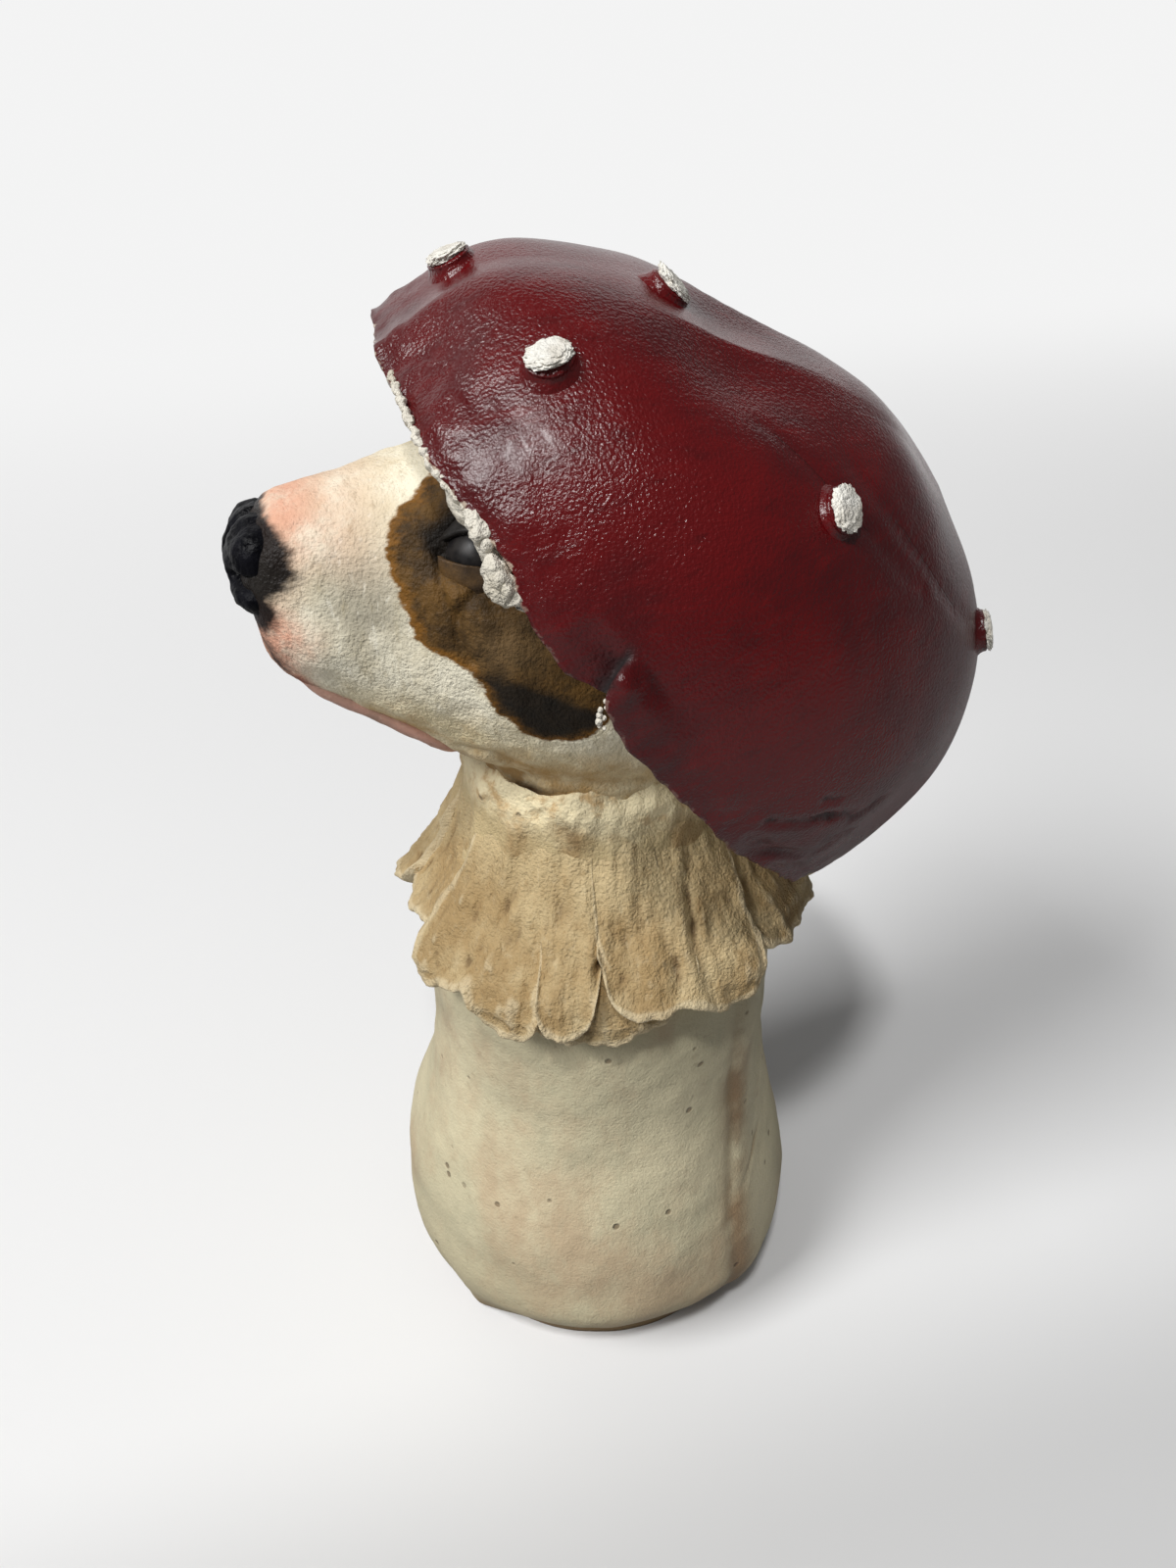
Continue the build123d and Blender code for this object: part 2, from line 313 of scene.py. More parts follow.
def hollows(mesh, rounds):
    count = len(mesh.vertices)
    points, normals = np.empty(count * 3, np.float32), np.empty(count * 3, np.float32)
    mesh.vertices.foreach_get("co", points)
    mesh.vertices.foreach_get("normal", normals)
    points, normals = points.reshape(-1, 3) * 1000, normals.reshape(-1, 3)
    ends = np.empty(len(mesh.edges) * 2, np.int32)
    mesh.edges.foreach_get("vertices", ends)
    a, b = ends.reshape(-1, 2).T
    near = np.maximum(np.bincount(np.r_[a, b], minlength=count), 1)[:, None]
    softened = points.copy()
    for _ in range(rounds):
        softened = np.stack([np.bincount(np.r_[a, b], np.r_[softened[b, k], softened[a, k]], count)
                             for k in range(3)], 1) / near
    return ((softened - points) * normals).sum(1)

def finished(mesh, name, finish, cad_node, hollow_rounds=0):
    if hollow_rounds:
        keep_masks(mesh, hollow=hollows(mesh, hollow_rounds))
    mesh.name = name
    mesh.shade_smooth()
    mesh.materials.clear()
    mesh.materials.append(finish)
    piece = bpy.data.objects.new(name, mesh)
    scene.collection.objects.link(piece)
    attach(piece, "root")
    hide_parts(cad_node)
    print(name, len(mesh.polygons), "faces")

# %% [markdown]
# ## Clay and wash
# Two effects come back on nearly every piece, so they are node groups: the fine tooth of fired clay,
# which is noise in two sizes, and the brown wash that was wiped off the clay and stayed in its
# hollows, which reads the measure kept with each shape.

# %% Shared group: the tooth of fired clay
def new_group(name, result, **inputs):
    group = bpy.data.node_groups.new(name, "ShaderNodeTree")
    for key, kind in inputs.items():
        group.interface.new_socket(key, in_out="INPUT", socket_type="NodeSocket" + kind)
    group.interface.new_socket(result, in_out="OUTPUT", socket_type="NodeSocketFloat")
    given = [Wire(socket) for socket in group.nodes.new("NodeGroupInput").outputs]
    return group, given[:len(inputs)], group.nodes.new("NodeGroupOutput").inputs[0]

clay_tooth, given, result = new_group("clay_tooth", "Height", Spot="Vector", Coarse="Float", Fine="Float")
spot, coarse, fine = given
feed(result, grain(spot, 420.0, 4.0, 0.6) * coarse + grain(spot, 1900.0, 2.0) * fine)

def tooth(spot, coarse, fine):
    return node(spot.tree, "Group", settings={"node_tree": clay_tooth}, Spot=spot, Coarse=coarse, Fine=fine)

# %% Shared group: the wash that stays in hollows
hollow_wash, given, result = new_group("hollow_wash", "Mask", Spot="Vector", Hollow="Float", Reach="Float")
spot, hollow, reach = given
feed(result, window(hollow / reach * (grain(spot, 160.0, 4.0, 0.6) * 1.6 + 0.2), 0.12, 0.85))

def settled(spot, reach):
    hollow = mask(spot.tree, "hollow")
    return node(spot.tree, "Group", settings={"node_tree": hollow_wash}, Spot=spot, Hollow=hollow, Reach=reach)

print("shared groups", [g.name for g in bpy.data.node_groups])

# %% [markdown]
# ## Stem
# The stem is a slab of clay rolled into a tube and lapped over itself, with a heavy belly, a waist,
# a flare under the skirt and a narrow mouth. A turned profile is the natural start, so a line is
# subdivided, set to the measured radii and spun. Then the foot is flattened where it was set down,
# the wall gets the soft unevenness of hands, the lap seam is pressed in, and the mouth is left ragged
# where the head's joint opened in the kiln.

# %% Stem shape
stem_top, stem_wall = 138.5, 6
stem_radius = smooth_curve(
    (0, 1.2, 4, 8, 14, 20, 28, 36, 44, 52, 60, 70, 80, 92, 98, 104, 110, 116, 120, 124, 128, 132, stem_top),
    (33.9, 34.8, 36.2, 38.0, 41.0, 42.6, 42.0, 41.0, 38.8, 36.5, 34.9, 33.6, 33.4, 33.2, 32.0, 30.2, 28.2,
     26.9, 26.1, 25.4, 24.9, 24.5, 24.3))

bm = bmesh.new()
rail = [bm.verts.new(p) for p in ((34, 0, 0), (24, 0, stem_top), (18, 0, stem_top), (28, 0, 0))]
walls = [bm.edges.new((rail[i], rail[(i + 1) % 4])) for i in range(4)]
bmesh.ops.subdivide_edges(bm, edges=[walls[0]], cuts=170)
bmesh.ops.subdivide_edges(bm, edges=[walls[2]], cuts=12)
for vert in bm.verts:
    outer = vert.co.x > 21 + (stem_top - vert.co.z) * 10 / stem_top
    vert.co.x = float(stem_radius(vert.co.z)) - (0 if outer else stem_wall)
bmesh.ops.subdivide_edges(bm, edges=[walls[1]], cuts=11)
spun(bm, 288, 0.001)
face_out(bm)
print("stem turned,", len(bm.verts), "points")

# %% Foot, seam and crease
foot_turns = (-180, -150, -120, -100, -81, -65, -58, -41, -19, -1, 15, 35, 60, 95, 130, 180)
foot_radii = (36.4, 37.2, 35.4, 36.0, 38.0, 37.6, 38.4, 35.4, 33.8, 34.3, 34.9, 37.2, 36.0, 37.4, 35.2, 36.4)
seam_heights, seam_turns = (0, 11, 37, 50, 58, 86, 100), (27, 27.2, 26.3, 30.5, 33.0, 34.2, 34.5)

def ridges(turn, z):
    return 1.3 * rough(on_circle(turn, 36, z * 0.25), 6.0, 40) * ease((135 - z) / 14)

points = gather(bm)
turn = turn_of(points)
radius, z = np.hypot(points[:, 0], points[:, 1]), points[:, 2]
skin = radius > stem_radius(z) - stem_wall / 2
foot = 1.3 * (np.interp(turn, foot_turns, foot_radii) - 36.2)
beside = (turn - np.interp(z, seam_heights, seam_turns)) * radius * pi / 180
change = foot * ease(1 - z / 22) + 0.7 * rough(points, 28, 1) + 0.2 * rough(points, 8, 2)
change -= 1.1 * bell(z - 42, 11) * np.sin(np.radians(turn))
change += np.where(z < 100, 0.8 * bell(beside - 4.5, 5) - 0.5 * bell(beside + 0.2, 1.5), 0)
run, rise = (turn - 41) * 0.7, z - 44.8
crease = bell((3.85 * rise - 1.9 * run) / 4.3, 0.9) * bell((3.85 * run + 1.9 * rise) / 4.3, 5)
change += ridges(turn, z) * ease((z - 100) / 8) - 0.9 * crease
print("foot pushed by", round(float(foot.min()), 1), "to", round(float(foot.max()), 1), "mm")

# %% Ragged mouth
joint_turns = (-180, -120, -67, -59, -50, -37, -25, -6, 14, 40, 90, 180)
joint_heights = (137.5, 138, 138.7, 137.3, 137.1, 136.7, 138.2, 139.4, 139.2, 138, 137, 137.5)

crumbly = 0.9 * rough(points, 6.5, 9) + 0.4 * rough(points, 2.2, 10, 2) + 0.14 * rough(points, 0.9, 11, 2)
change += ease((z - 127) / 7) * (crumbly + 0.2)
open_joint = bell(turn + 45, 15) + 0.6 * bell(turn - 17, 7)
change -= ease((z - 133.5) / 5) * (1.5 - 1.4 * open_joint) + 0.7 * ease((z - 136.6) / 2) * open_joint
grown = 1 + np.where(skin, change * ease((z + 2) / 6), 0) / radius
shape = points * np.stack([grown, grown, np.ones(len(z))], 1)
uneven = np.interp(turn, joint_turns, joint_heights) - stem_top + 0.7 * rough(points * (1, 1, 0.2), 5, 4)
shape[:, 2] += ease((z - 128) / 10.5) * uneven
on_top = ease((24.5 - radius) / 1.8) * (z > stem_top - 0.1)
shape[:, 2] -= on_top * (3.0 * np.clip(open_joint, 0, 1) - 0.4)
place(bm, shape)
stem_mesh = to_mesh(bm)
stem_seam = bell(np.where(z < 100, beside - 1.0, 99), 4.2) * skin
keep_masks(stem_mesh,
           seam_stain=np.maximum(stem_seam * ease((95 - z) / 20), crease * skin),
           joint=ease((on_top - 0.35) / 0.4) * np.clip(open_joint, 0, 1),
           smudge=blob((turn + 27) * 0.42 / 3.6, (z - 131) / 3.5) * skin)
print("stem widest", round(float(np.hypot(shape[:, 0], shape[:, 1]).max()), 1), "mm from its axis")

# %% [markdown]
# ## Stem finish
# The stem is bare clay under a thin pale slip: grey-beige with faint pink-brown clouds, a scatter of
# small dark pits, brown where the lap seam caught the wash and along the foot. Clouds come from large
# noise, pits from sparse Voronoi cells, and the stain from the mask that was kept with the shape. The
# neck has the skirt's own tan and cream, with the same noise, so that no line shows between them.

# %% Marks that the neck shares with the skirt
cream = (252, 238, 198)

def neck_marks(spot):
    height_up = node(spot.tree, "SeparateXYZ", spot, out=2)
    above = height_up + (grain(spot, 110.0, 4.0, 0.6) - 0.5) * 0.016
    streaks = grain(stretched(spot, (1, 1, 0.22)), 150.0, 5.0, 0.6)
    mottle = grain(stretched(spot, (1, 1, 0.5)), 520.0, 4.0, 0.7)
    return height_up, window(above, 0.108, 0.118), window(above, 0.1265, 0.1345), streaks, mottle

# %% Stem finish
stem_clay, tree, shader, spot = new_finish("stem_clay")
height_up, on_neck, at_mouth, streaks, mottle = neck_marks(spot)
colour = mixed(window(grain(spot, 28.0, 4.0), 0.35, 0.65), (220, 209, 175), (203, 194, 162))
clouds = window(grain(stretched(spot, (1, 1, 0.6), (0.3, 0.2, 0)), 36.0, 6.0, 0.68), 0.46, 0.70)
colour = mixed(clouds * 0.6, colour, (184, 152, 120))
moss = window(grain(stretched(spot, (1, 1, 0.5), (0.8, 0.1, 0.4)), 55.0, 6.0, 0.7), 0.5, 0.68)
colour = mixed(moss * 0.32, colour, (172, 168, 140))
colour = mixed(window(grain(spot, 480.0, 4.0, 0.7), 0.56, 0.72) * 0.3, colour, (158, 138, 108))
colour = mixed(window(height_up, 0.040, 0.0, 0.0, 0.55), colour, (176, 160, 126))
foot_brown = window(height_up + grain(spot, 120.0) * 0.014, 0.021, 0.006)
colour = mixed(foot_brown * 0.85, colour, (138, 108, 72))
stain = mask(tree, "seam_stain") * window(grain(spot, 90.0, 4.0), 0.3, 0.62)
colour = mixed(stain * 0.82, colour, (134, 100, 68))
colour = mixed(settled(spot, 0.5) * 0.4, colour, (150, 126, 90))
neck_tan = mixed(window(streaks, 0.42, 0.66), (196, 176, 133), (168, 141, 99))
colour = mixed(on_neck, colour, neck_tan)
colour = mixed(at_mouth * 0.85, colour, cream)
ochre = at_mouth * window(grain(spot, 170.0, 5.0, 0.65), 0.48, 0.64)
colour = mixed(ochre * 0.7, colour, (186, 142, 80))
smudge = mask(tree, "smudge") * window(grain(spot, 300.0, 4.0, 0.7), 0.36, 0.62)
colour = mixed(smudge * 0.75, colour, (120, 98, 66))
colour = mixed(mask(tree, "joint"), colour, (54, 38, 22))
cells = node(tree, "TexVoronoi", out="Distance", Vector=spot, Scale=180.0)
few = node(tree, "SeparateColor", cells.other("Color"))
pit = window(cells, 0.15, 0.07) * window(few, 0.58, 0.63)
colour = mixed(pit * 0.65, colour, (104, 80, 56))
clay = tooth(spot, 0.8, 0.45)
gritty = (clay + mottle * 1.2) * window(height_up, 0.108, 0.118)
fired(shader, colour, window(grain(spot, 60.0), 0.3, 0.7, 0.52, 0.68), clay + gritty - pit, 0.0004, 0.8, 0.35)
finished(stem_mesh, "stem", stem_clay, "stem_wall", 40)
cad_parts["foot_disc"].material_slots[0].material = stem_clay

# %% [markdown]
# ## Skirt
# The skirt is a collar of torn strips, pressed on in layers, smeared into the stem at the top and
# thick at the ragged lower edge. All strips share one rule for how far the collar stands out, so
# they run into each other at the top, and each layer is only a little prouder than the one below.
# One strip is a grid wrapped on the stem and extruded out to that collar.

# %% Collar and strips
skirt_top = 131.0
layer_lift = (-1.2, 0.4, 1.5)
collar_z = (90, 93, 96, 100, 104, 108, 112, 116, 120, 124, 128, 132, 136)
collar_sides = (  # shares at turns -180, -95, -10, 70 and 180, then the radii
    ((1, 0, 0, 0, 1), (35.0, 36.0, 36.8, 38.2, 37.8, 36.0, 33.2, 30.8, 28.5, 26.8, 25.6, 24.7, 24.2)),
    ((0, 1, 0, 0, 0), (35.2, 36.2, 36.9, 38.2, 35.8, 32.8, 30.0, 27.9, 26.4, 25.5, 25.0, 24.6, 24.2)),
    ((0, 0, 1, 0, 0), (35.6, 36.8, 37.8, 38.4, 37.2, 34.9, 32.2, 29.7, 27.7, 26.3, 25.3, 24.7, 24.2)),
    ((0, 0, 0, 1, 0), (34.6, 35.6, 36.8, 38.6, 40.2, 39.4, 36.6, 33.0, 29.8, 27.4, 25.7, 24.8, 24.2)))

def collar(turn, z):
    turn = (turn + 180) % 360 - 180
    return sum(np.interp(turn, (-180, -95, -10, 70, 180), share) * np.interp(z, collar_z, radii)
               for share, radii in collar_sides)

skirt_strips = (  # layer, left and right edge as turns at the top and at the hem, heights along the hem
    (0, (-34, -46), (4, 12), (95, 94, 94, 93.3, 93.4, 94.2, 96.2, 100, 103)),
    (0, (32, 31), (82, 82), (105, 102.6, 101.2, 101.6, 100.8, 102.5)),
    (0, (98, 108), (154, 149), (97, 95, 94.5, 96.5, 94.5, 99)),
    (0, (174, 180), (228, 221), (96, 94.5, 93.6, 95.5, 94.2, 97)),
    (0, (-116, -116), (-62, -66), (104, 101.6, 101.4, 100.4, 101.8, 102.4, 100)),
    (1, (-70, -77.5), (-34, -30), (100.5, 95.2, 94.2, 95.6, 97.6, 99.0, 99.3, 95.0, 93.6, 93.4, 94.6, 98)),
    (2, (-42, -33), (-20, -15), (104, 99.6, 98.0, 97.4, 97.3, 97.6, 98.5, 100.5, 105)),
    (1, (-27, -16.5), (40, 33), (107, 103.4, 101.8, 101, 100.8, 101.2, 101, 99.4, 97.8, 97.2, 97.3, 98.4, 103)),
    (1, (76, 72), (106, 112), (103, 98, 96.5, 98.0, 95.5, 96, 100)),
    (1, (146, 141), (182, 188), (102, 97, 95.5, 98.5, 96, 97, 101)),
    (1, (220, 214), (252, 258), (102, 97.5, 96, 95, 98.6, 98, 100.5)))
cleft_strip = 8  # the strip with a cleft down its middle
print(len(skirt_strips), "strips planned")

# %% Outline of one strip
def strip_outline(flat, number, left, right, hem):
    across, down = (flat[:, 0] + 1) / 2, (1 - flat[:, 1]) / 2
    wide = (right[1] - left[1]) * 0.6
    walk = np.stack([across * wide, down * 2, np.full(len(flat), number * 31.0)], 1)
    to_side = np.minimum(across, 1 - across) * wide
    hem_z = smooth_curve(np.linspace(0, 1, len(hem)), hem)(across) + 0.55 * rough(walk, 4.2, 3, 2)
    hem_z += 3.5 * (1 - np.clip(to_side / 3, 0, 1)) ** 2
    z = skirt_top - down * (skirt_top - hem_z)
    ends = [edge[0] + (edge[1] - edge[0]) * ease(down * 1.15) for edge in (left, right)]
    side_walk = np.stack([np.sign(across - 0.5) * 20.0, z, np.full(len(flat), number * 17.0)], 1)
    turn = ends[0] + (ends[1] - ends[0]) * across + 0.9 * rough(side_walk, 5, 6, 2) * (2 * across - 1) ** 2
    return turn, z, to_side, (1 - down) * (skirt_top - hem_z), walk, side_walk

# %% How far a strip stands out
def quarter_round(x):
    return np.sqrt(1 - (1 - np.clip(x, 0, 1)) ** 2)

def strip_radius(number, layer, turn, z, to_side, to_hem, walk, side_walk):
    low, spread_out = ease((126 - z) / 14), ease((132 - z) / 12)
    at = on_circle(turn, 36, z)
    outer = stem_radius(z) + (collar(turn, z) - stem_radius(z)) * spread_out + layer_lift[layer] * low
    pressed_in = 0.55 * (1 - ease((131 - z) / 12))
    outer += (0.35 * rough(at * (1, 1, 0.3), 8, number + 60) - pressed_in) * (1 - low)
    own = 1.1 * rough(at, 9, number) + 0.9 * rough(at * (1, 1, 0.3), 4.0, number + 3)
    outer += ridges(turn, z) * (1 - 0.85 * low) + spread_out * low * own
    grit = 0.14 * rough(at, 1.3, 7, 2) + 0.3 * rough(at * (1, 1, 0.6), 2.6, 9, 2)
    outer += low * grit + bell(to_hem, 5) * 0.4 * rough(at, 3.0, 8, 2)
    cleft = (turn - np.interp(z, (104, 111.6, 121.3), (14, 12.8, 15.4))) * 0.6
    outer -= 0.8 * bell(cleft, 1.2) * ease((124 - z) / 3) * ease((z - 100) / 5) * (number == cleft_strip)
    outer -= 2.6 * bell(np.hypot((turn + 16.2) * 0.64, (z - 110) * 0.7), 1.0)
    smeared = np.clip(0.55 + 1.1 * rough(side_walk, 9, 12, 2), 0.1, 1)
    side_lip = 0.15 * bell(to_side - 1.6, 1.0) * (layer > 0)
    outer += low * smeared * (side_lip - 1.3 * (1 - quarter_round(to_side / 1.7)))
    return outer + bell(to_hem - 2.4, 1.7) * (0.9 + 0.8 * rough(walk, 4.5, 21, 2))

# %% One torn strip
def torn_strip(number, layer, left, right, hem):
    bm = bmesh.new()
    bmesh.ops.create_grid(bm, x_segments=84, y_segments=70, size=1)
    mark = bm.verts.layers.int.new("place")
    for index, vert in enumerate(bm.verts):
        vert[mark] = index
    turn, z, to_side, to_hem, *walks = strip_outline(gather(bm), number, left, right, hem)
    inner = stem_radius(z) - 1.2
    outer = strip_radius(number, layer, turn, z, to_side, to_hem, *walks)
    fullness = 0.05 + 0.95 * quarter_round(to_hem / 2.4)
    outer = inner + np.maximum(outer - inner, 0.05) * fullness
    place(bm, on_circle(turn, inner, z))
    lifted = bmesh.ops.extrude_face_region(bm, geom=bm.faces[:], use_keep_orig=True)["geom"]
    proud = on_circle(turn, outer, z)
    for vert in only(BMVert, lifted):
        vert.co = proud[vert[mark]]
    face_out(bm)
    # Mask of the hem roll, which is painted pale, partly as a painted highlight.
    rolled = bell(to_hem - 1.0, 1.6)[[vert[mark] for vert in bm.verts]]
    strip_mesh = to_mesh(bm)
    keep_masks(strip_mesh, rolled_hem=rolled)
    return strip_mesh

# %% [markdown]
# ## Skirt finish
# The strips carry a tan wash brushed over cream clay. It is strongest on the flat of the strip and
# in the folds, and wiped off the torn edges, which stay pale; along the rolled hem the pale paint is
# also a painted highlight. The wash is vertical and streaky, so the noise is stretched along Z, and
# the pale edge is read from the raised side of the hollow mask.

# %% Skirt finish
skirt_clay, tree, shader, spot = new_finish("skirt_clay")
height_up, on_neck, at_mouth, streaks, mottle = neck_marks(spot)
cloud = grain(spot, 60.0, 4.0, 0.6)
wash = window(streaks * 0.5 + cloud * 0.6, 0.42, 0.68) * window(height_up + cloud * 0.016, 0.137, 0.124)
colour = mixed(wash, (198, 177, 135), (168, 141, 98))
colour = mixed(settled(spot, 0.6) * 0.75, colour, (104, 80, 50))
proud = window(mask(tree, "hollow") * -1.0 + cloud * 0.9, 0.7, 1.1)
colour = mixed(proud * 0.45, colour, (224, 209, 174))
# Pale on the rolled hem: partly clay wiped clean, partly a painted highlight where the roll catches the light.
hem = mask(tree, "rolled_hem") * window(grain(spot, 210.0, 4.0, 0.65), 0.36, 0.58)
colour = mixed(hem * 0.75, colour, (226, 212, 180))
colour = mixed(window(mottle, 0.54, 0.7, 0.0, 0.55), colour, (146, 118, 76))
colour = mixed(window(mottle, 0.45, 0.3, 0.0, 0.22), colour, (220, 205, 170))
colour = mixed(at_mouth * 0.85, colour, cream)
gritty = tooth(spot, 0.7, 0.6) + mottle * 0.6
fired(shader, colour, window(cloud, 0.3, 0.7, 0.6, 0.78), gritty, 0.0008, 0.9, 0.3)

for number, strip in enumerate(skirt_strips, 1):
    finished(torn_strip(number, *strip), f"skirt_{number:02d}", skirt_clay, f"skirt_strip_{number:02d}", 24)

# %% [markdown]
# ## Head
# The head is one lump of clay: an egg-shaped skull that runs into a blunt terrier's muzzle, and a
# neck that sits in the stem's mouth. A sphere is stretched along measured sections, the neck is
# added, and a voxel remesh kneads both into one skin of even faces, which can be modelled anywhere.
# The back of the skull is tucked into the mouth. Then the brow, sockets, whisker pads and lip folds
# are pushed and pulled with soft falloffs.

# %% Head sections
head_middle, head_rise = np.array((0, 0, 158.0)), radians(17)
to_nose = np.array((0, -cos(head_rise), sin(head_rise)))
to_brow = np.array((0, sin(head_rise), cos(head_rise)))
stations = (-28.6, -28, -20, -8, 5, 18, 28, 37, 45, 52, 56, 58.6, 59.6)
head_top = smooth_curve(stations, (0, 10, 22, 28, 29, 27, 24, 19.4, 15.0, 11.2, 8.4, 4.5, -1))
head_base = smooth_curve(
    stations, (0, -10, -18, -25, -27, -25.2, -22.6, -20.4, -18.2, -13.6, -6.8, -3.8, -1))
head_half = smooth_curve(stations, (0, 13, 24, 29.5, 29.5, 26.5, 22.3, 17.8, 14.2, 11.4, 9.2, 5.4, 0))

def head_local(points):
    rel = points - head_middle
    return rel @ to_nose, rel @ to_brow, rel[:, 0]

def head_place(forward, up, side):
    forward, up, side = (np.asarray(v, float)[..., None] for v in (forward, up, side))
    return head_middle + forward * to_nose + up * to_brow + side * np.array((1.0, 0, 0))

# %% Skull and neck kneaded into one
def squared(x, power):
    return np.sign(x) * np.abs(x) ** power

bm = bmesh.new()
bmesh.ops.create_uvsphere(bm, u_segments=96, v_segments=110, radius=1)
ball = gather(bm)
forward = 15.5 + 44.1 * ball[:, 2]
around = np.arctan2(ball[:, 1], ball[:, 0])
tall, low_side = head_top(forward), head_base(forward)
across, rise = squared(np.cos(around), 0.92), squared(np.sin(around), 0.96)
up = (tall + low_side) / 2 + rise * (tall - low_side) / 2
place(bm, head_place(forward, up, head_half(forward) * across))
bmesh.ops.create_cone(bm, cap_ends=True, segments=96, radius1=23.0, radius2=25.0, depth=22,
                      matrix=Matrix.Translation((0, 0, 145.2)))
bm = kneaded(bm, 0.52)
soften(bm, 5)
points = gather(bm)
seat = 22.8 + 1.5 * np.maximum(points[:, 2] - 137.5, 0)
inside_seat = np.minimum(seat / np.hypot(points[:, 0], points[:, 1]), 1)
tuck = 1 + (inside_seat - 1) * ease((9 - head_local(points)[0]) / 5)
place(bm, points * np.stack([tuck, tuck, np.ones(len(points))], 1))
soften(bm, 4, lambda vert: 134 < vert.co.z < 152)
print("head kneaded,", len(bm.verts), "points")

# %% Head modelled with listed swells and creases
points, normals = gather(bm), normals_of(bm)
f, u, side = head_local(points)
s = np.abs(side)

def from_line(f, u, places):
    best = np.full(len(f), 1e9)
    for (f0, u0), (f1, u1) in zip(places, places[1:]):
        df, du = f1 - f0, u1 - u0
        t = np.clip(((f - f0) * df + (u - u0) * du) / (df ** 2 + du ** 2), 0, 1)
        best = np.minimum(best, np.hypot(f - f0 - t * df, u - u0 - t * du))
    return best

swells = (  # height, reach forward, up and sideways, then the place forward, up and sideways
    (-2.8, (6.5, 4.6, 6), (28.5, 13.6, 17.5)),  # eye socket
    (2.0, (8, 2.8, 6), (28.5, 20.0, 14.0)),  # brow
    (0.9, (3.0, 2.6, 6), (30.4, 8.0, 18.5)),  # fold under the eye
    (0.7, (5, 5, 6), (24, 4, 21)),  # cheek
    (1.0, (8, 5, 6), (46, -7, 12)),  # whisker pad
    (-0.8, (6, 7, 6), (38.5, 4, 17)),  # hollow beside the bridge
    (0.9, (3.4, 2.2, 7), (18.6, -20.0, 14)),  # corner of the mouth
    (-2.0, (5, 7, 8), (59, 1.5, 0)))  # seat of the nose
creases = (  # depth, reach, then places forward and up
    (0.7, 0.7, ((33.4, 12), (32.8, 9.5), (32.2, 7.2), (31, 5.6), (29.6, 4.4))),
    (0.7, 0.65, ((26.4, 10.8), (28.4, 7.8), (29.6, 5.2), (29.3, 2.4), (28, 0.3), (26.4, -1.2))),
    (0.7, 0.8, ((21.5, -20.6), (17.5, -21.2), (15.6, -23))),
    (0.5, 0.8, ((22.5, -18.6), (18.5, -17.2), (15.2, -18.6))))
flank = ease((s - 3) / 4)
push = 0.4 * rough(points, 10, 3) + 0.16 * rough(points, 3.0, 8, 2) + 0.06 * rough(points, 1.2, 9, 2)
for height, (df, du, ds), (f0, u0, s0) in swells:
    push += height * blob((f - f0) / df, (u - u0) / du, (s - s0) / ds)
for depth, reach, places in creases:
    push -= depth * bell(from_line(f, u, places), reach) * flank
push -= 1.1 * bell(s, 0.8) * ease((f - 52) / 2) * ease((-2 - u) / 2)
place(bm, points + normals * push[:, None])
head_mesh = to_mesh(bm)
print("deepest push", round(float(push.min()), 2), "mm, highest", round(float(push.max()), 2), "mm")

# %% Outlines of the painted areas
def inside(outline):
    ring = list(outline) + [outline[0]]
    odd = np.zeros(len(f), bool)
    for (f0, u0), (f1, u1) in zip(ring, ring[1:]):
        if u0 != u1:
            odd ^= ((u0 > u) != (u1 > u)) & (f < (f1 - f0) * (u - u0) / (u1 - u0) + f0)
    return from_line(f, u, ring) * np.where(odd, 1, -1)

lobe_edge = ((24, -5.2), (21, -7.8), (17.5, -10), (13.5, -11.1), (10, -9.6), (7, -7.1), (5.5, -2.9))
eye_patch = ((34.5, 19.5), (37, 16.9), (38.5, 15), (39.5, 13.1), (40, 10.5), (39.5, 7.6), (37.5, 5), (36, 2.2),
             (34, -0.7), (32, -1.4), (28.5, -2.4), (26, -2.8), *lobe_edge, (8, 8), (14, 18), (24, 24), (30, 23))
dark_lobe = ((27, -2.4), *lobe_edge, (12, -1.5), (19, -1.0))
lid_line = ((33.4, 12.6), (31.4, 15.2), (28.4, 18.6), (25, 20))
lip = ((47, -15.4), (43, -17.6), (37, -19.3), (31.5, -20.6), (25, -22.0), (20.5, -22.6))
nose_cleft = ((52.6, -10.2), (50.8, -12.8), (49.4, -14.4))
ink_heights = (-11, -9.5, -8, -5, -2, 0, 3, 6, 8, 10)
ink_starts = (58, 54.4, 52.6, 52.0, 52.6, 51.4, 50.2, 51.6, 54.6, 57.8)

# %% Where the head is painted
left, outside = side > 0, -9
lip_away = from_line(f, u, lip)
bridge = 0.55 * ease((f - 34) / 22) * ease((u - 1) / 9)
chin = 1.0 * ease((f - 43) / 9) * ease((-1 - u) / 6)
blush = bridge + chin + 0.25 * ease((f - 47) / 6) + bell(lip_away, 1.3) * ease((f - 30) / 8) * 0.5
turn, z = turn_of(points), points[:, 2]
under_chin = bell(turn + 52, 15)
above_joint = z - np.interp(turn, joint_turns, joint_heights)
keep_masks(head_mesh,
           eye_patch=np.where(left, inside(eye_patch), outside),
           dark_lobe=np.where(left, inside(dark_lobe), outside),
           eye_shadow=np.where(left, 2.6 - from_line(f, u, lid_line), outside),
           cheek_glow=blob((f - 23) / 5, (u - 3) / 4),
           ink=np.maximum(f - np.interp(u, ink_heights, ink_starts), 1.0 - from_line(f, u, nose_cleft)),
           blush=np.clip(blush, 0, 1),
           grey_wash=blob((f - 41) / 8, (u - 1) / 8),
           ochre_wash=ease((-7 - u) / 10) * ease((46 - f) / 10),
           lip_line=bell(lip_away, 1.0) * ease((f - 18) / 3),
           neck_wash=ease((150 - z) / 9) * ease((26 - f) / 6) * (0.65 + 0.8 * under_chin),
           joint=bell(np.maximum(above_joint, 0), 1.2) * bell(turn + 45, 15) * (f < 26))
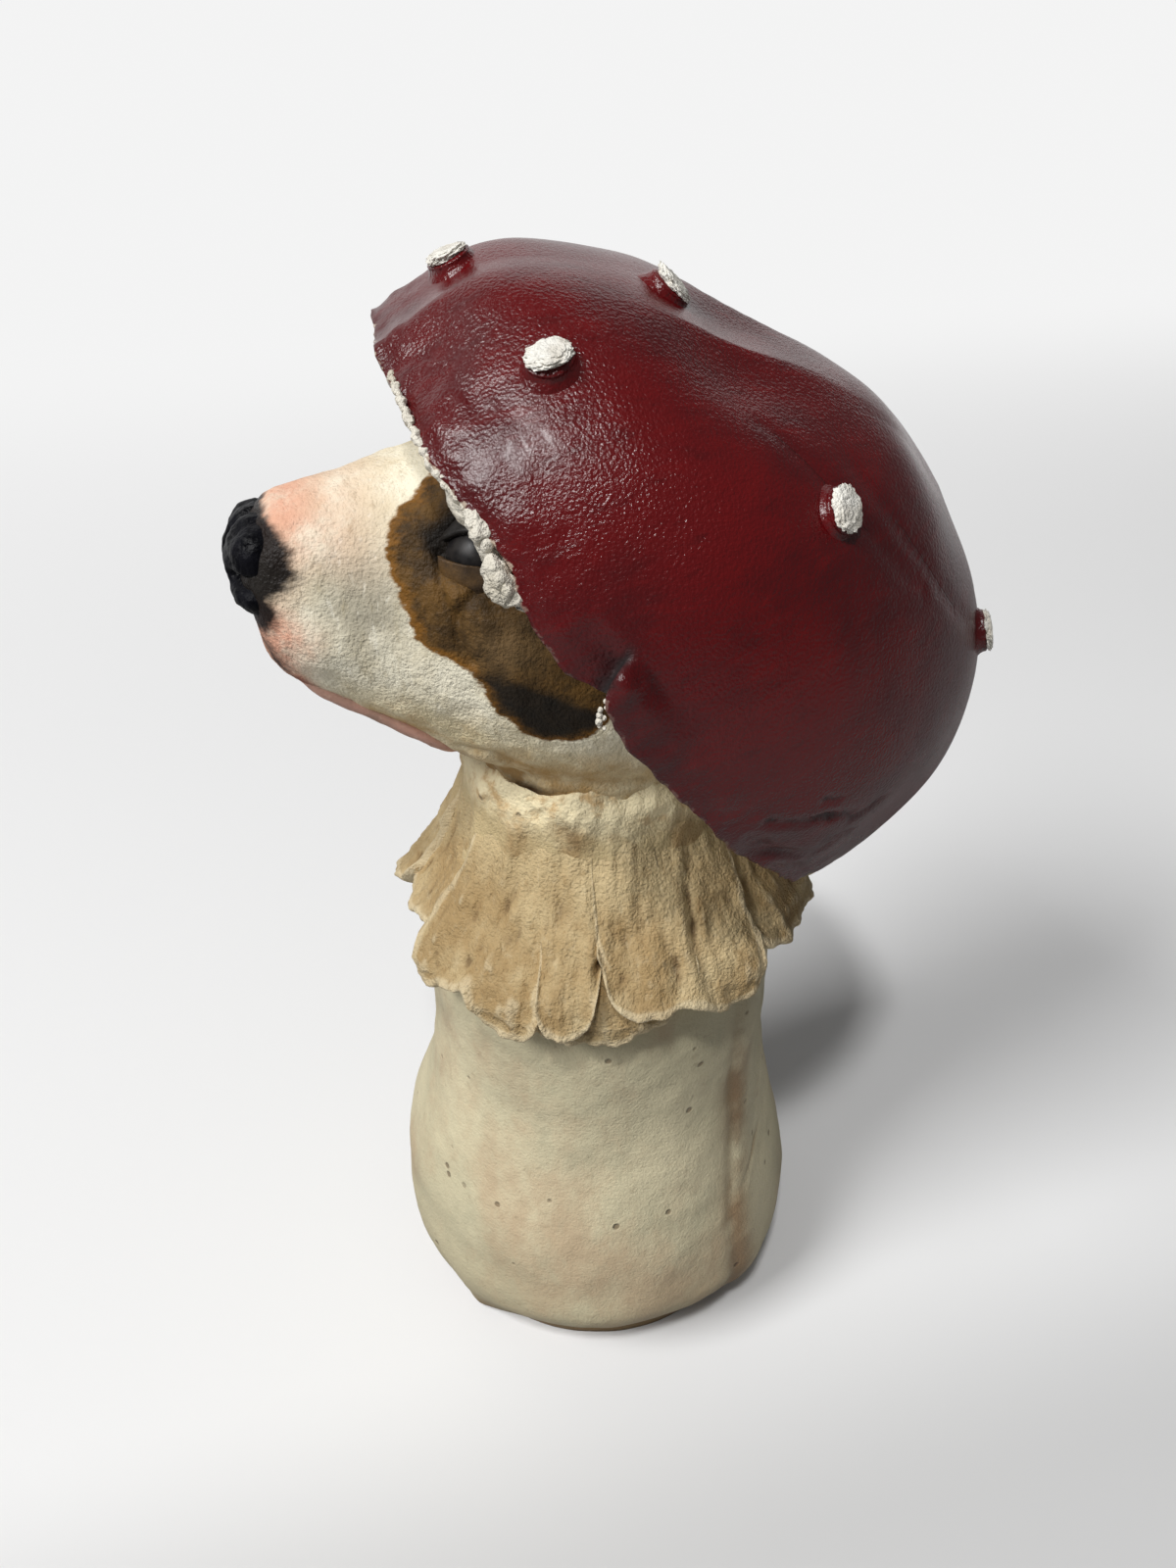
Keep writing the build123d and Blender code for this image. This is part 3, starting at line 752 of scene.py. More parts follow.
print("painted masks", [a.name for a in head_mesh.attributes if a.data_type == "FLOAT"])

# %% [markdown]
# ## Head finish
# Cream slip with grey and ochre brushed over it, salmon pink on the nose bridge, lips and chin, and
# a dark umber patch with an ochre fringe round one eye. Each painted edge is a distance kept with the
# shape; adding noise to that distance before the threshold gives the dry, dragged edge of a brush.

# %% Slip, blush and washes
head_clay, tree, shader, spot = new_finish("head_clay")
brush = grain(stretched(spot, (1, 0.35, 1), (0.3, 0, 0)), 420.0, 4.0, 0.65)
cloud = grain(spot, 95.0, 5.0, 0.62)
fine = grain(spot, 900.0, 3.0, 0.6)
colour = mixed(window(cloud, 0.38, 0.66), (243, 236, 213), (228, 217, 188))
grey = window(cloud + brush * 0.5, 0.52, 0.86) * 0.75 + 0.25
colour = mixed(grey * mask(tree, "grey_wash"), colour, (170, 163, 144))
scuffs = grain(stretched(spot, (1, 1, 0.2), (0.2, 0.1, 0)), 620.0, 4.0, 0.7)
colour = mixed(window(scuffs, 0.54, 0.72, 0.0, 0.5), colour, (172, 160, 130))
colour = mixed(window(scuffs, 0.42, 0.28, 0.0, 0.5), colour, (250, 245, 228))
ochre = window(grain(stretched(spot, (1, 1, 1), (0.1, 0.8, 0.5)), 85.0, 5.0, 0.65), 0.42, 0.66)
ochre_wash = mask(tree, "ochre_wash")
colour = mixed(ochre_wash * 0.6, colour, (232, 214, 168))
colour = mixed(ochre * (ochre_wash * 0.75), colour, (204, 166, 104))
blush = mask(tree, "blush")
pink = blush * window(cloud + fine * 0.3, 0.40, 0.74) * 0.7 + blush * 0.3
colour = mixed(pink.sums("MINIMUM", 0.8), colour, (224, 154, 126))
colour = mixed(settled(spot, 0.55) * 0.6, colour, (150, 116, 72))
damp = mask(tree, "neck_wash") * window(cloud, 0.34, 0.58)
colour = mixed(damp.sums("MINIMUM", 0.85), colour, (178, 136, 76))
colour = mixed(mask(tree, "joint"), colour, (58, 40, 22))

# %% Eye patch, lips and ink
drag = (brush - 0.5) * 3.2
edge = mask(tree, "eye_patch") + drag
umber = mixed(window(grain(spot, 190.0, 5.0, 0.7), 0.38, 0.64), (66, 49, 27), (104, 76, 38))
patch = mixed(window(edge + drag, 0.2, 1.7), (124, 84, 32), umber)
# Lighter patch colour on the cheek bulge: a painted highlight.
glow = mask(tree, "cheek_glow") * window(cloud, 0.25, 0.6)
patch = mixed(glow * 0.7, patch, (130, 106, 74))
# Near-black above the eye, under the overhanging brow: a painted shadow.
shadow = window(mask(tree, "eye_shadow") + drag * 0.5, -1.0, 1.4)
patch = mixed(shadow * 0.95, patch, (16, 14, 12))
lobe = window(mask(tree, "dark_lobe") + drag * 0.8, -0.6, 2.2)
patch = mixed(lobe * 0.92, patch, (30, 28, 25))
colour = mixed(window(edge, -0.25, 0.35), colour, patch)
colour = mixed(mask(tree, "lip_line") * 0.8, colour, (120, 48, 40))
inked = window(mask(tree, "ink") + drag * 1.7, -1.2, 1.8)
colour = mixed(inked * 0.98, colour, (5, 5, 8))
roughness = window(cloud, 0.3, 0.7, 0.5, 0.66) - inked * 0.16
fired(shader, colour, roughness, tooth(spot, 0.5, 0.6) + scuffs * 0.45, 0.0006, 0.85, 0.16)
finished(head_mesh, "head", head_clay, "head_shell", 24)

# %% [markdown]
# ## Lower jaw
# Under the muzzle a thin strip of clay makes the lower jaw. It shows as a narrow pink edge below the
# dark mouth line. A stretched sphere follows the muzzle's underside, narrower than the lip above it.

# %% Lower jaw
bm = bmesh.new()
bmesh.ops.create_uvsphere(bm, u_segments=72, v_segments=90, radius=1)
ball = gather(bm)
forward = 34.6 + 16.4 * ball[:, 2]
girth = np.sqrt(np.clip(1 - np.abs(ball[:, 2]) ** 5, 0, 1))
around = np.arctan2(ball[:, 1], ball[:, 0])
jaw_half = head_half(forward) * 0.58 * girth
jaw_middle = head_base(forward) + 2.7
jaw = head_place(forward, jaw_middle + np.sin(around) * 3.4 * girth, np.cos(around) * jaw_half)
jaw += 0.25 * rough(jaw, 4, 2)[:, None] * np.array((0.3, 0.3, 1))
place(bm, jaw)
jaw_mesh = to_mesh(bm)

jaw_pink, tree, shader, spot = new_finish("jaw_pink")
cloud = grain(spot, 160.0, 4.0)
colour = mixed(window(cloud, 0.4, 0.65), (206, 158, 140), (180, 142, 124))
colour = mixed(window(grain(spot, 380.0), 0.58, 0.72, 0.0, 0.6), colour, (222, 190, 166))
fired(shader, colour, window(cloud, 0.3, 0.7, 0.45, 0.6), tooth(spot, 0.7, 0.4), 0.0004, 0.6)
finished(jaw_mesh, "jaw", jaw_pink, "lower_jaw")

# %% [markdown]
# ## Nose
# The nose is one pad with a soft wing on each side and a comma-shaped nostril under each wing, glazed
# black. Balls for the pad and the wings are kneaded together, and the nostrils are pushed in.

# %% Nose
nose_balls = [((55.5, 1.0, 0), (4.7, 6.6, 8.8))]  # place forward, up and sideways, then half sizes
for at, size in (((55.5, 2.3, 5.0), (3.9, 4.5, 4.3)), ((53.6, 1.0, 6.6), (4.6, 4.8, 3.2)),
                 ((54.3, -3.4, 4.4), (4.1, 3.0, 5.2))):
    nose_balls += [(at, size), ((at[0], at[1], -at[2]), size)]
bm = bmesh.new()
for at, size in nose_balls:
    for vert in bmesh.ops.create_icosphere(bm, subdivisions=4, radius=1)["verts"]:
        vert.co = Vector(head_place(*(a + b * c for a, b, c in zip(at, size, vert.co))))
bm = kneaded(bm, 0.3)
soften(bm, 4)
points, normals = gather(bm), normals_of(bm)
f, u, side = head_local(points)
s = np.abs(side)
nostril = from_line(f, u, ((59.8, -1.8), (57.0, -1.0), (54.6, 0.0), (52.8, 1.0)))
push = -1.9 * bell(nostril, 0.8) * ease((s - 3.2) / 2)
push -= 0.9 * bell(s, 0.8) * ease((f - 55) / 2) + 0.22 * rough(points, 2.5, 5) + 0.1 * rough(points, 1.1, 6, 2)
place(bm, points + normals * push[:, None])
nose_mesh = to_mesh(bm)

nose_black, tree, shader, spot = new_finish("nose_black")
cloud = grain(spot, 300.0, 4.0)
colour = mixed(window(cloud, 0.4, 0.7), (5, 5, 9), (14, 14, 20))
# Bluish grey on the raised parts of the nose: a painted reflection.
worn = window(mask(tree, "hollow") * -1.0 + cloud * 0.4, 0.42, 0.8)
colour = mixed(worn * 0.25, colour, (74, 74, 84))
fired(shader, colour, window(cloud, 0.3, 0.7, 0.34, 0.5), tooth(spot, 0.7, 0.5), 0.0005, 0.7, 0.09)
finished(nose_mesh, "nose_pad", nose_black, "nose", 10)

# %% [markdown]
# ## Eyes and lids
# Each eye is a clay ball pressed into its socket and glazed black, with two thin lids laid round it.
# A lid is a slice of a slightly larger sphere: two cuts with a plane leave the slice, and solidify
# gives it the thickness of rolled clay.

# %% Eye and lid finishes
eye_black, tree, shader, spot = new_finish("eye_black")
cloud = grain(spot, 420.0, 3.0)
colour = mixed(window(cloud, 0.4, 0.7), (22, 21, 22), (46, 42, 40))
fired(shader, colour, window(cloud, 0.3, 0.7, 0.30, 0.46), cloud, 0.0001, 0.4, 0.3)

eyelid_brown, tree, shader, spot = new_finish("eyelid_brown")
cloud = grain(spot, 240.0, 4.0, 0.6)
colour = mixed(window(cloud, 0.4, 0.65), (96, 70, 36), (66, 48, 28))
# The upper lids are painted near black: painted shade of the crevice under the brow.
colour = mixed(mask(tree, "soot"), colour, (18, 16, 14))
fired(shader, colour, window(cloud, 0.3, 0.7, 0.5, 0.65), tooth(spot, 0.8, 0.4), 0.0004, 0.7)

# %% Eyes
eye_at, eye_out, eye_radius, lid_radius = (26.6, 11.6, 15.4), (0.42, 0.38, 0.82), 5.2, 5.5

def eye_frame(mirror):
    outwards = (head_place(*eye_out) - head_middle) * np.array((mirror, 1, 1))
    centre = head_place(*eye_at) * np.array((mirror, 1, 1))
    out = Vector(outwards).normalized()
    along = Vector(to_nose) - out * Vector(to_nose).dot(out)
    along.normalize()
    turned = Matrix((along, out.cross(along) * mirror, out)).transposed().to_4x4()
    return Matrix.Translation(Vector(centre)) @ turned

def lid(mirror, upper, tilt):
    bm = bmesh.new()
    bmesh.ops.create_uvsphere(bm, u_segments=72, v_segments=72, radius=lid_radius)
    cut_off(bm, (0, 0, -1.0), (0, 0, -1))
    cut_off(bm, (0, 0, 0), (0, sin(radians(tilt)) * (1 if upper else -1), cos(radians(tilt))))
    face_out(bm)
    bmesh.ops.solidify(bm, geom=bm.faces[:], thickness=-0.9)
    points = gather(bm)
    points += 0.25 * rough(points, 2.5, 4)[:, None] * points / 6
    place(bm, points)
    bmesh.ops.transform(bm, matrix=eye_frame(mirror), verts=bm.verts)
    face_out(bm)
    return to_mesh(bm)

for name, mirror in (("left", 1), ("right", -1)):
    bm = bmesh.new()
    bmesh.ops.create_uvsphere(bm, u_segments=64, v_segments=48, radius=eye_radius)
    bmesh.ops.transform(bm, matrix=eye_frame(mirror), verts=bm.verts)
    face_out(bm)
    finished(to_mesh(bm), name + "_eyeball", eye_black, name + "_eye")
    # Painted shade on the upper lids: full on the left eye, weaker on the right.
    for part, upper, tilt, soot in (("upper", True, 60, 0.95), ("lower", False, 74, 0.0)):
        lid_mesh = lid(mirror, upper, tilt)
        keep_masks(lid_mesh, soot=soot if mirror > 0 else 0.4)
        finished(lid_mesh, f"{name}_lid_{part}", eyelid_brown, f"{name}_{part}_eyelid")

# %% [markdown]
# ## Cap
# The cap is a thin leaning dome, pinched out of one sheet. Half a sphere is the start; its points are
# placed by a rule for the leaning egg, crowded towards the rim where the detail is. Then come the
# dents of the fingers, scored lines, the wrinkles at the back, the slit where the rim was lapped, and
# a ragged edge. Solidify gives it the wall.

# %% Dome rule
cap_middle = np.array((0, 1.6, 159.6))
cap_tilt, cap_roll = radians(53.9), radians(-8)
to_front = np.array((0, -cos(cap_tilt), sin(cap_tilt)))
level = np.array((1.0, 0, 0))
upright = np.array((0, sin(cap_tilt), cos(cap_tilt)))
to_left = cos(cap_roll) * level + sin(cap_roll) * upright
to_crown = -sin(cap_roll) * level + cos(cap_roll) * upright

def dome(turn, lift):
    turn, lift = (np.radians(np.asarray(v, float))[..., None] for v in (turn, lift))
    spread, rise = np.cos(lift) ** 1.16, np.sin(lift) ** 0.84
    return (cap_middle + (60.1 * spread * np.cos(turn) - 12.3 * rise) * to_front
            + 48.0 * spread * np.sin(turn) * to_left + 53.3 * rise * to_crown)

def dome_out(turn, lift):
    a = dome(turn + 0.5, lift) - dome(turn - 0.5, lift)
    b = dome(turn, np.minimum(lift + 0.5, 89.9)) - dome(turn, np.maximum(lift - 0.5, 0))
    out = np.cross(a, b)
    core = cap_middle + 16 * to_crown - 8 * to_front
    out *= np.sign(((dome(turn, lift) - core) * out).sum(-1))[..., None]
    return out / np.maximum(np.linalg.norm(out, axis=-1), 1e-9)[..., None]

# %% Cap sheet
slit_turn, crowding = 74, 0.45
bm = bmesh.new()
bmesh.ops.create_uvsphere(bm, u_segments=400, v_segments=190, radius=1)
cut_off(bm, (0, 0, 0), (0, 0, -1), 0.0001)
ball = gather(bm)
cap_turn = turn_of(ball)
cap_turn = (cap_turn - np.degrees(crowding * np.sin(np.radians(cap_turn - slit_turn)))
            + np.degrees(crowding * sin(radians(-slit_turn - 180))))
cap_lift = 88.9 * (np.degrees(np.arcsin(np.clip(ball[:, 2], 0, 1))) / 90) ** 1.3
points = dome(cap_turn, cap_lift)
out = dome_out(cap_turn, np.clip(cap_lift, 0.6, 88.0))
print("cap sheet", len(points), "points")

# %% Dents of the fingers
def dent(turn, lift, reach):
    return bell(np.linalg.norm(points - dome(turn, lift), axis=1), reach)

fingers = (  # height, then places as turn and lift
    (1.65, ((352, 13), (332, 13), (12, 12))), (-3.7, ((0, 2), (340, 3), (18, 2))),
    (0.22, ((350, 22), (330, 22), (10, 21), (350, 33), (328, 34), (12, 32))),
    (-3.1, ((8, 45), (335, 47), (30, 42), (310, 47))), (-0.63, ((10, 58), (335, 62), (40, 54), (300, 64))),
    (0.74, ((20, 72), (330, 78), (60, 66))), (-1.19, ((68, 78), (110, 74))), (0.5, ((134, 68), (150, 60))),
    (-0.7, ((132, 34), (148, 34))), (-1.7, ((130, 16), (145, 16))))
push = 0.25 * rough(points, 30, 2) + 0.06 * rough(points, 12, 6)
for height, places in fingers:
    push += height * np.max([dent(turn, lift, 11) for turn, lift in places], axis=0)
print(len(fingers), "rows of finger marks")

# %% Scored lines and wrinkles
scored_lines = (  # turn and lift of the start and of the end, then half width
    (44, 39.5, 88, 47, 1.6), (56, 49, 121, 54.5, 1.6), (30, 9, 52, 7.2, 1.5), (24, 5, 33, 7, 1.0),
    (320, 20, 300, 32, 1.2), (200, 30, 230, 36, 1.4))
wrinkles = (
    (104, 4.6, 111, 11.8, 0.8), (109, 10, 114, 13.5, 0.7), (116, 13.5, 118.5, 18.5, 0.9),
    (106, 12.5, 108, 13.5, 0.6), (113, 2.2, 121, 7.6, 1.1), (117, 8, 122, 11, 0.8),
    (238, 6, 246, 10, 1.0), (228, 4, 240, 5, 0.9))
loose = points + 0.9 * np.stack([rough(points, 5, 20 + k, 2) for k in range(3)], 1)
for depth, lines in ((0.3, scored_lines), (0.6, wrinkles)):
    for turn0, lift0, turn1, lift1, reach in lines:
        walk = dome(np.linspace(turn0, turn1, 24), np.linspace(lift0, lift1, 24))
        push -= depth * bell(np.min([np.linalg.norm(loose - step, axis=1) for step in walk], axis=0), reach)
push += bell(cap_lift, 5.5) * (0.4 * rough(points, 5, 11) + 0.18 * rough(points, 1.7, 12, 2))
push += 0.6 * dent(116, 5.5, 4) + 0.4 * dent(108, 8, 4) - 0.9 * dent(111, 1.2, 3)
print("cap worked by", round(float(push.min()), 1), "to", round(float(push.max()), 1), "mm")

# %% Slit
arm = (cap_turn - 73.7 + 2.7 * np.clip(cap_lift / 3.5, 0, 2)) * 1.035
lapped, over = ease((5.4 - cap_lift) / 2.6), ease((arm + 0.6) / 1.2)
push += lapped * (over * 1.9 * bell(arm, 9) - (1 - over) * 1.3 * bell(arm, 6))
push += lapped * 0.8 * bell(arm - 2.2, 1.5)
push -= 0.9 * bell(cap_lift, 1.3) * ease((80 - np.abs(cap_turn - 10)) / 30)
sideways = lapped * (-over * 1.5 * bell(arm, 4) + (1 - over) * 0.5 * bell(arm, 3))
onwards = dome(cap_turn + 0.5, cap_lift) - dome(cap_turn - 0.5, cap_lift)
onwards /= np.maximum(np.linalg.norm(onwards, axis=1), 1e-9)[:, None]
# Near-black along the crease where the rim laps over itself: painted shade.
slit_dark = bell(arm + 0.35, 0.95) * ease((6.6 - cap_lift) / 2.4)
print("slit darkened at", int((slit_dark > 0.5).sum()), "points")

# %% Ragged rim
rim_drop_turns = (-180, -60, 0, 10.4, 25, 33, 38, 44, 49.4, 54, 58.9, 63.3, 68.8, 71.5, 73.2, 73.9, 75.2, 77.5,
                  82, 84.6, 89.3, 93.8, 99.2, 108.4, 118, 139, 180)
rim_drops = (0, 0, 0.3, 0.4, 0.1, 0.35, 0.1, -0.6, -1.0, -1.05, 0.6, 1.0, 1.4, -0.2, -1.2, -2.2, -0.6, 0.2,
             1.0, 0.4, 0.6, 0.1, -0.1, 0.4, -1.0, -0.6, 0)
walk = on_circle(cap_turn, 54, np.zeros(len(points)))
unseen = ease((np.abs(cap_turn - slit_turn) - 70) / 20)
ragged = np.interp(cap_turn, rim_drop_turns, rim_drops) + 0.8 * unseen * rough(walk, 13, 2, 2)
ragged += 0.35 * rough(walk, 1.9, 3, 2)
dropped = (bell(cap_lift, 2.0) * ragged)[:, None]
cap_points, cap_shape = points, points + out * push[:, None] + onwards * sideways[:, None] - to_crown * dropped
place(bm, cap_shape)
print("cap ragged by", round(float(np.ptp(ragged)), 1), "mm along its rim")

# %% Cap's map and wall
bare = 1 - 0.8 * ease((np.abs(cap_turn - 100) - 50) / -12)
bm.verts.index_update()
for name, values in (("rim", cap_lift), ("bare", bare), ("slit", slit_dark)):
    layer = bm.verts.layers.float.new(name)
    for vert, value in zip(bm.verts, values):
        vert[layer] = value
paint_map = bm.loops.layers.uv.new("dome")
for face in bm.faces:
    turns = [cap_turn[l.vert.index] for l in face.loops]
    wraps = max(turns) - min(turns) > 180
    for loop, turn in zip(face.loops, turns):
        loop[paint_map].uv = ((turn + (360 if wraps and turn < 0 else 0)) / 360, cap_lift[loop.vert.index] / 90)
face_out(bm, Vector(to_crown))
cap_normals = normals_of(bm)
bmesh.ops.solidify(bm, geom=bm.faces[:], thickness=1.8)
cap_mesh = to_mesh(bm)
print("cap wall", len(cap_mesh.vertices), "points")

# %% [markdown]
# ## Cap finish
# Deep oxblood glaze, brushed from the crown to the rim and satin rather than glassy: its fine orange
# peel breaks the gleam into sparkles. The dome's own map lets the streaks run from crown to rim, and
# the pale clay shows only along the very edge. A scratch is the distance from a line on that map.

# %% Shared group: a scratch
def vectors(operation, a, b=(0, 0, 0)):
    out = "Value" if operation in ("DOT_PRODUCT", "LENGTH") else "Vector"
    return node(a.tree, "VectorMath", a, b, out=out, settings={"operation": operation})

scratch, given, result = new_group("scratch", "Mask", Map="Vector", Start="Vector", Run="Vector", Width="Float")
at, start, run, width = given
along = vectors("SUBTRACT", at, start)
part = node(scratch, "Clamp", vectors("DOT_PRODUCT", along, run) / vectors("DOT_PRODUCT", run, run), 0.0, 1.0)
nearest = node(scratch, "VectorMath", run, out="Vector", settings={"operation": "SCALE"}, Scale=part)
off_line = vectors("LENGTH", vectors("SUBTRACT", along, nearest))
feed(result, window(off_line / width, 1.0, 0.2))

# %% Cap finish
cap_girth, cap_arc = 310.0, 86.0  # millimetres once round the dome's map, and from rim to crown
cap_glaze, tree, shader, spot = new_finish("cap_glaze")
dome_map = node(tree, "UVMap", settings={"uv_map": "dome"})
streaks = grain(stretched(dome_map, (1, 0.10, 1)), 130.0, 5.0, 0.6)
peel = grain(spot, 2100.0, 2.0, 0.45)
pores = grain(spot, 800.0, 3.0, 0.55)
cloud = grain(spot, 38.0, 4.0, 0.55)
wavy = vectors("SUBTRACT", grain(spot, 110.0, 2.0).other("Color"), (0.5, 0.5, 0.5))
on_dome = vectors("ADD", vectors("MULTIPLY", dome_map, (cap_girth, cap_arc, 0.0)),
                  vectors("MULTIPLY", wavy, (2.2, 2.2, 0.0)))
scratches = (  # turn and lift of the start and of the end, then half width
    (11, 23.5, 16, 31.5, 0.22), (46, 40, 70, 44, 0.3), (72, 51, 104, 53, 0.3),
    (320, 20, 304, 30, 0.5), (285, 24, 262, 28, 0.4), (205, 30, 226, 35, 0.5))
scores = None
for turn0, lift0, turn1, lift1, wide in scratches:
    start = (turn0 / 360 * cap_girth, lift0 / 90 * cap_arc, 0)
    run = ((turn1 - turn0) / 360 * cap_girth, (lift1 - lift0) / 90 * cap_arc, 0)
    one = node(tree, "Group", settings={"node_tree": scratch}, Map=on_dome, Start=start, Run=run, Width=wide)
    scores = scores.sums("MAXIMUM", one) if scores else one
colour = mixed(window(cloud, 0.36, 0.66), (94, 5, 9), (72, 4, 8))
colour = mixed(window(streaks, 0.5, 0.72, 0.0, 0.45), colour, (106, 7, 9))
colour = mixed(window(streaks, 0.46, 0.3, 0.0, 0.4), colour, (58, 4, 7))
colour = mixed(settled(spot, 0.7) * 0.7, colour, (30, 3, 5))
colour = mixed(scores * 0.3, colour, (30, 3, 5))
# The slit mask paints the lapped crease near black: painted shade.
slit = mask(tree, "slit")
colour = mixed(slit, colour, (12, 3, 4))
bare = window(mask(tree, "rim") + (pores - 0.5) * 1.4, 0.10, -0.05)
colour = mixed(bare * 0.8 * mask(tree, "bare"), colour, (206, 188, 168))
skin_height = peel + pores * 0.16 + streaks * 0.25 - scores * 0.45
fired(shader, colour, window(cloud, 0.3, 0.7, 0.24, 0.30) + slit * 0.6, skin_height, 0.0003, 0.6)
shader.inputs["Coat Weight"].default_value = 0.12
shader.inputs["Coat Roughness"].default_value = 0.2
finished(cap_mesh, "cap", cap_glaze, "cap_shell", 16)

# %% [markdown]
# ## Gills
# Under the cap a ring of white, crumbly clay was pressed on and scored into gills. Its ends show as a
# row of beads along the front rim, and two fat clumps hang out beside the eye. A circle extruded
# inwards gives the ring, a ridge rule gives the gills, and noise makes them crumbly.

# %% Gill ring
gill_count, gill_steps = 44, 26

def tucked(turn):
    return 0.96 - 0.07 * bell(np.asarray(turn, float) + 2, 24)

bm = bmesh.new()
bmesh.ops.create_circle(bm, segments=440, radius=1, cap_ends=False)
loop = bm.edges[:]
for step in range(gill_steps):
    grown = bmesh.ops.extrude_edge_only(bm, edges=loop)["geom"]
    loop = only(BMEdge, grown)
    for vert in only(BMVert, grown):
        vert.co = vert.co.normalized() * (1 - (step + 1) / gill_steps * 0.5)
flat = gather(bm)
turn = turn_of(flat)
inwards = (1 - np.hypot(flat[:, 0], flat[:, 1])) / 0.5
wobble = turn + 2.2 * rough(np.stack([flat[:, 0] * 54, flat[:, 1] * 54, inwards * 4], 1), 9, 1, 2)
ridge = np.abs(np.cos(np.radians(wobble) * gill_count / 2)) ** 0.7
drawn_up = 3.0 * ease((turn - 58) / 6) * ease((185 - turn) / 20)
reach = tucked(turn) - 0.01 + drawn_up * (0.021 * ease((turn - 80) / 8) - 0.012) - 0.5 * inwards
pulled = cap_middle + (dome(turn, np.zeros(len(turn))) - cap_middle) * reach[:, None]
crumbs = 0.55 * rough(pulled, 3.2, 2, 3) + 0.25 * rough(pulled, 1.3, 3, 2)
hang = (0.2 + 2.3 * ridge * ease(inwards * 3 + 0.5)) * (1 - 0.35 * inwards) + crumbs
place(bm, pulled - to_crown * (hang - drawn_up)[:, None])
face_out(bm, Vector(-to_crown))
bmesh.ops.solidify(bm, geom=bm.faces[:], thickness=4.5)
print("gill ring", len(bm.verts), "points")

# %% Crumbs and clumps along the rim
beads = [(t, 0.34 + t * 0.005 + 0.1 * sin(t * 1.7), 0.3 + 0.2 * sin(t * 2.9)) for t in np.arange(2, 45, 0.55)]
beads += [  # turn, size and how far it hangs: the clumps beside the eye, then the crumbs in the slit
    (45.0, 0.9, 0.2), (46.3, 1.2, 0.4), (47.8, 1.5, 0.7), (48.9, 0.9, 0.9), (52.6, 1.5, 1.9), (54.2, 1.9, 2.3),
    (55.6, 1.7, 1.9), (56.8, 1.1, 1.0), (74.6, 0.32, 0.9), (75.2, 0.42, 1.4), (75.8, 0.34, 1.7),
    (76.4, 0.45, 2.0), (77.0, 0.34, 2.1), (75.4, 0.28, 0.6), (76.4, 0.3, 1.2), (77.6, 0.3, 1.7)]
beads += [(t, 0.55 + 0.2 * sin(t * 2.3), 0.2) for t in np.arange(-3, -178, -3.1)]
beads += [(t, 0.4 + 0.1 * sin(t * 2.9), -1.2) for t in np.arange(84, 180, 5.3)]
for turn, size, hang in beads:
    at = cap_middle + (dome(turn, 0.0) - cap_middle) * (tucked(turn) + 0.008)
    at -= to_crown * (np.interp(turn, rim_drop_turns, rim_drops) + hang)
    lump = bmesh.ops.create_icosphere(bm, subdivisions=3, radius=size)["verts"]
    local = np.array([v.co for v in lump])
    local *= (1 + 0.45 * rough(local + turn, 1.4, 2, 2))[:, None]
    for vert, point in zip(lump, local):
        vert.co = Vector(point * np.array((1.0, 1.0, 1.15)) + at)
gill_mesh = to_mesh(bm)
print("beads", len(beads))

# %% Gill finish
gill_white, tree, shader, spot = new_finish("gill_white")
crumb = grain(spot, 700.0, 4.0, 0.65)
colour = mixed(window(grain(spot, 130.0, 4.0), 0.4, 0.65), (228, 222, 208), (202, 194, 176))
# Grey in the hollows of the gills: painted shade.
colour = mixed(settled(spot, 0.4) * 0.7, colour, (140, 128, 108))
colour = mixed(window(crumb, 0.66, 0.78, 0.0, 0.6), colour, (92, 84, 72))
fired(shader, colour, window(crumb, 0.3, 0.7, 0.7, 0.85), tooth(spot, 1.4, 0.8), 0.0008, 0.9)
finished(gill_mesh, "gills", gill_white, "gill_lining", 8)

# %% [markdown]
# ## Warts
# The warts are pea-sized studs of the cap's own clay under the red glaze, each topped with a rough
# daub of thick white slip. A stud is a spun profile that flares into the cap, and a crown is a
# flattened, knobbly ball.

# %% Wart finish
wart_white, tree, shader, spot = new_finish("wart_white")
crumb = grain(spot, 800.0, 4.0, 0.65)
colour = mixed(window(grain(spot, 260.0, 3.0), 0.42, 0.66), (240, 237, 228), (218, 212, 200))
colour = mixed(settled(spot, 0.3) * 0.6, colour, (168, 156, 140))
fired(shader, colour, window(crumb, 0.3, 0.7, 0.65, 0.8), tooth(spot, 1.2, 0.7), 0.0007, 0.9)

# %% Studs and crowns
warts = (  # turn, lift, spin, then the lean as seen in the photo: to its right and upwards
    (356, 10.5, 0.2, 0.0, 0.3), (29, 15.5, 1.2, -0.1, 0.5), (5, 38, 2.0, 0.45, 0.05),
    (64, 41, 0.7, 0.15, 0.0), (138, 57, 1.6, 0.1, 0.1), (316, 14, 2.4, 0, 0), (296, 40, 0.4, 0, 0),
    (298, 9, 1.1, 0, 0), (253, 22, 2.7, 0, 0), (225, 58, 0.9, 0, 0))
photo_right, photo_up = Vector((0.263, 0.965, 0)), Vector((-0.554, 0.151, 0.819))
stud_profile = ((5.2, -1.6), (4.3, -0.6), (3.7, 0.0), (3.45, 0.5), (3.4, 0.9), (3.0, 1.15), (0, 1.25))

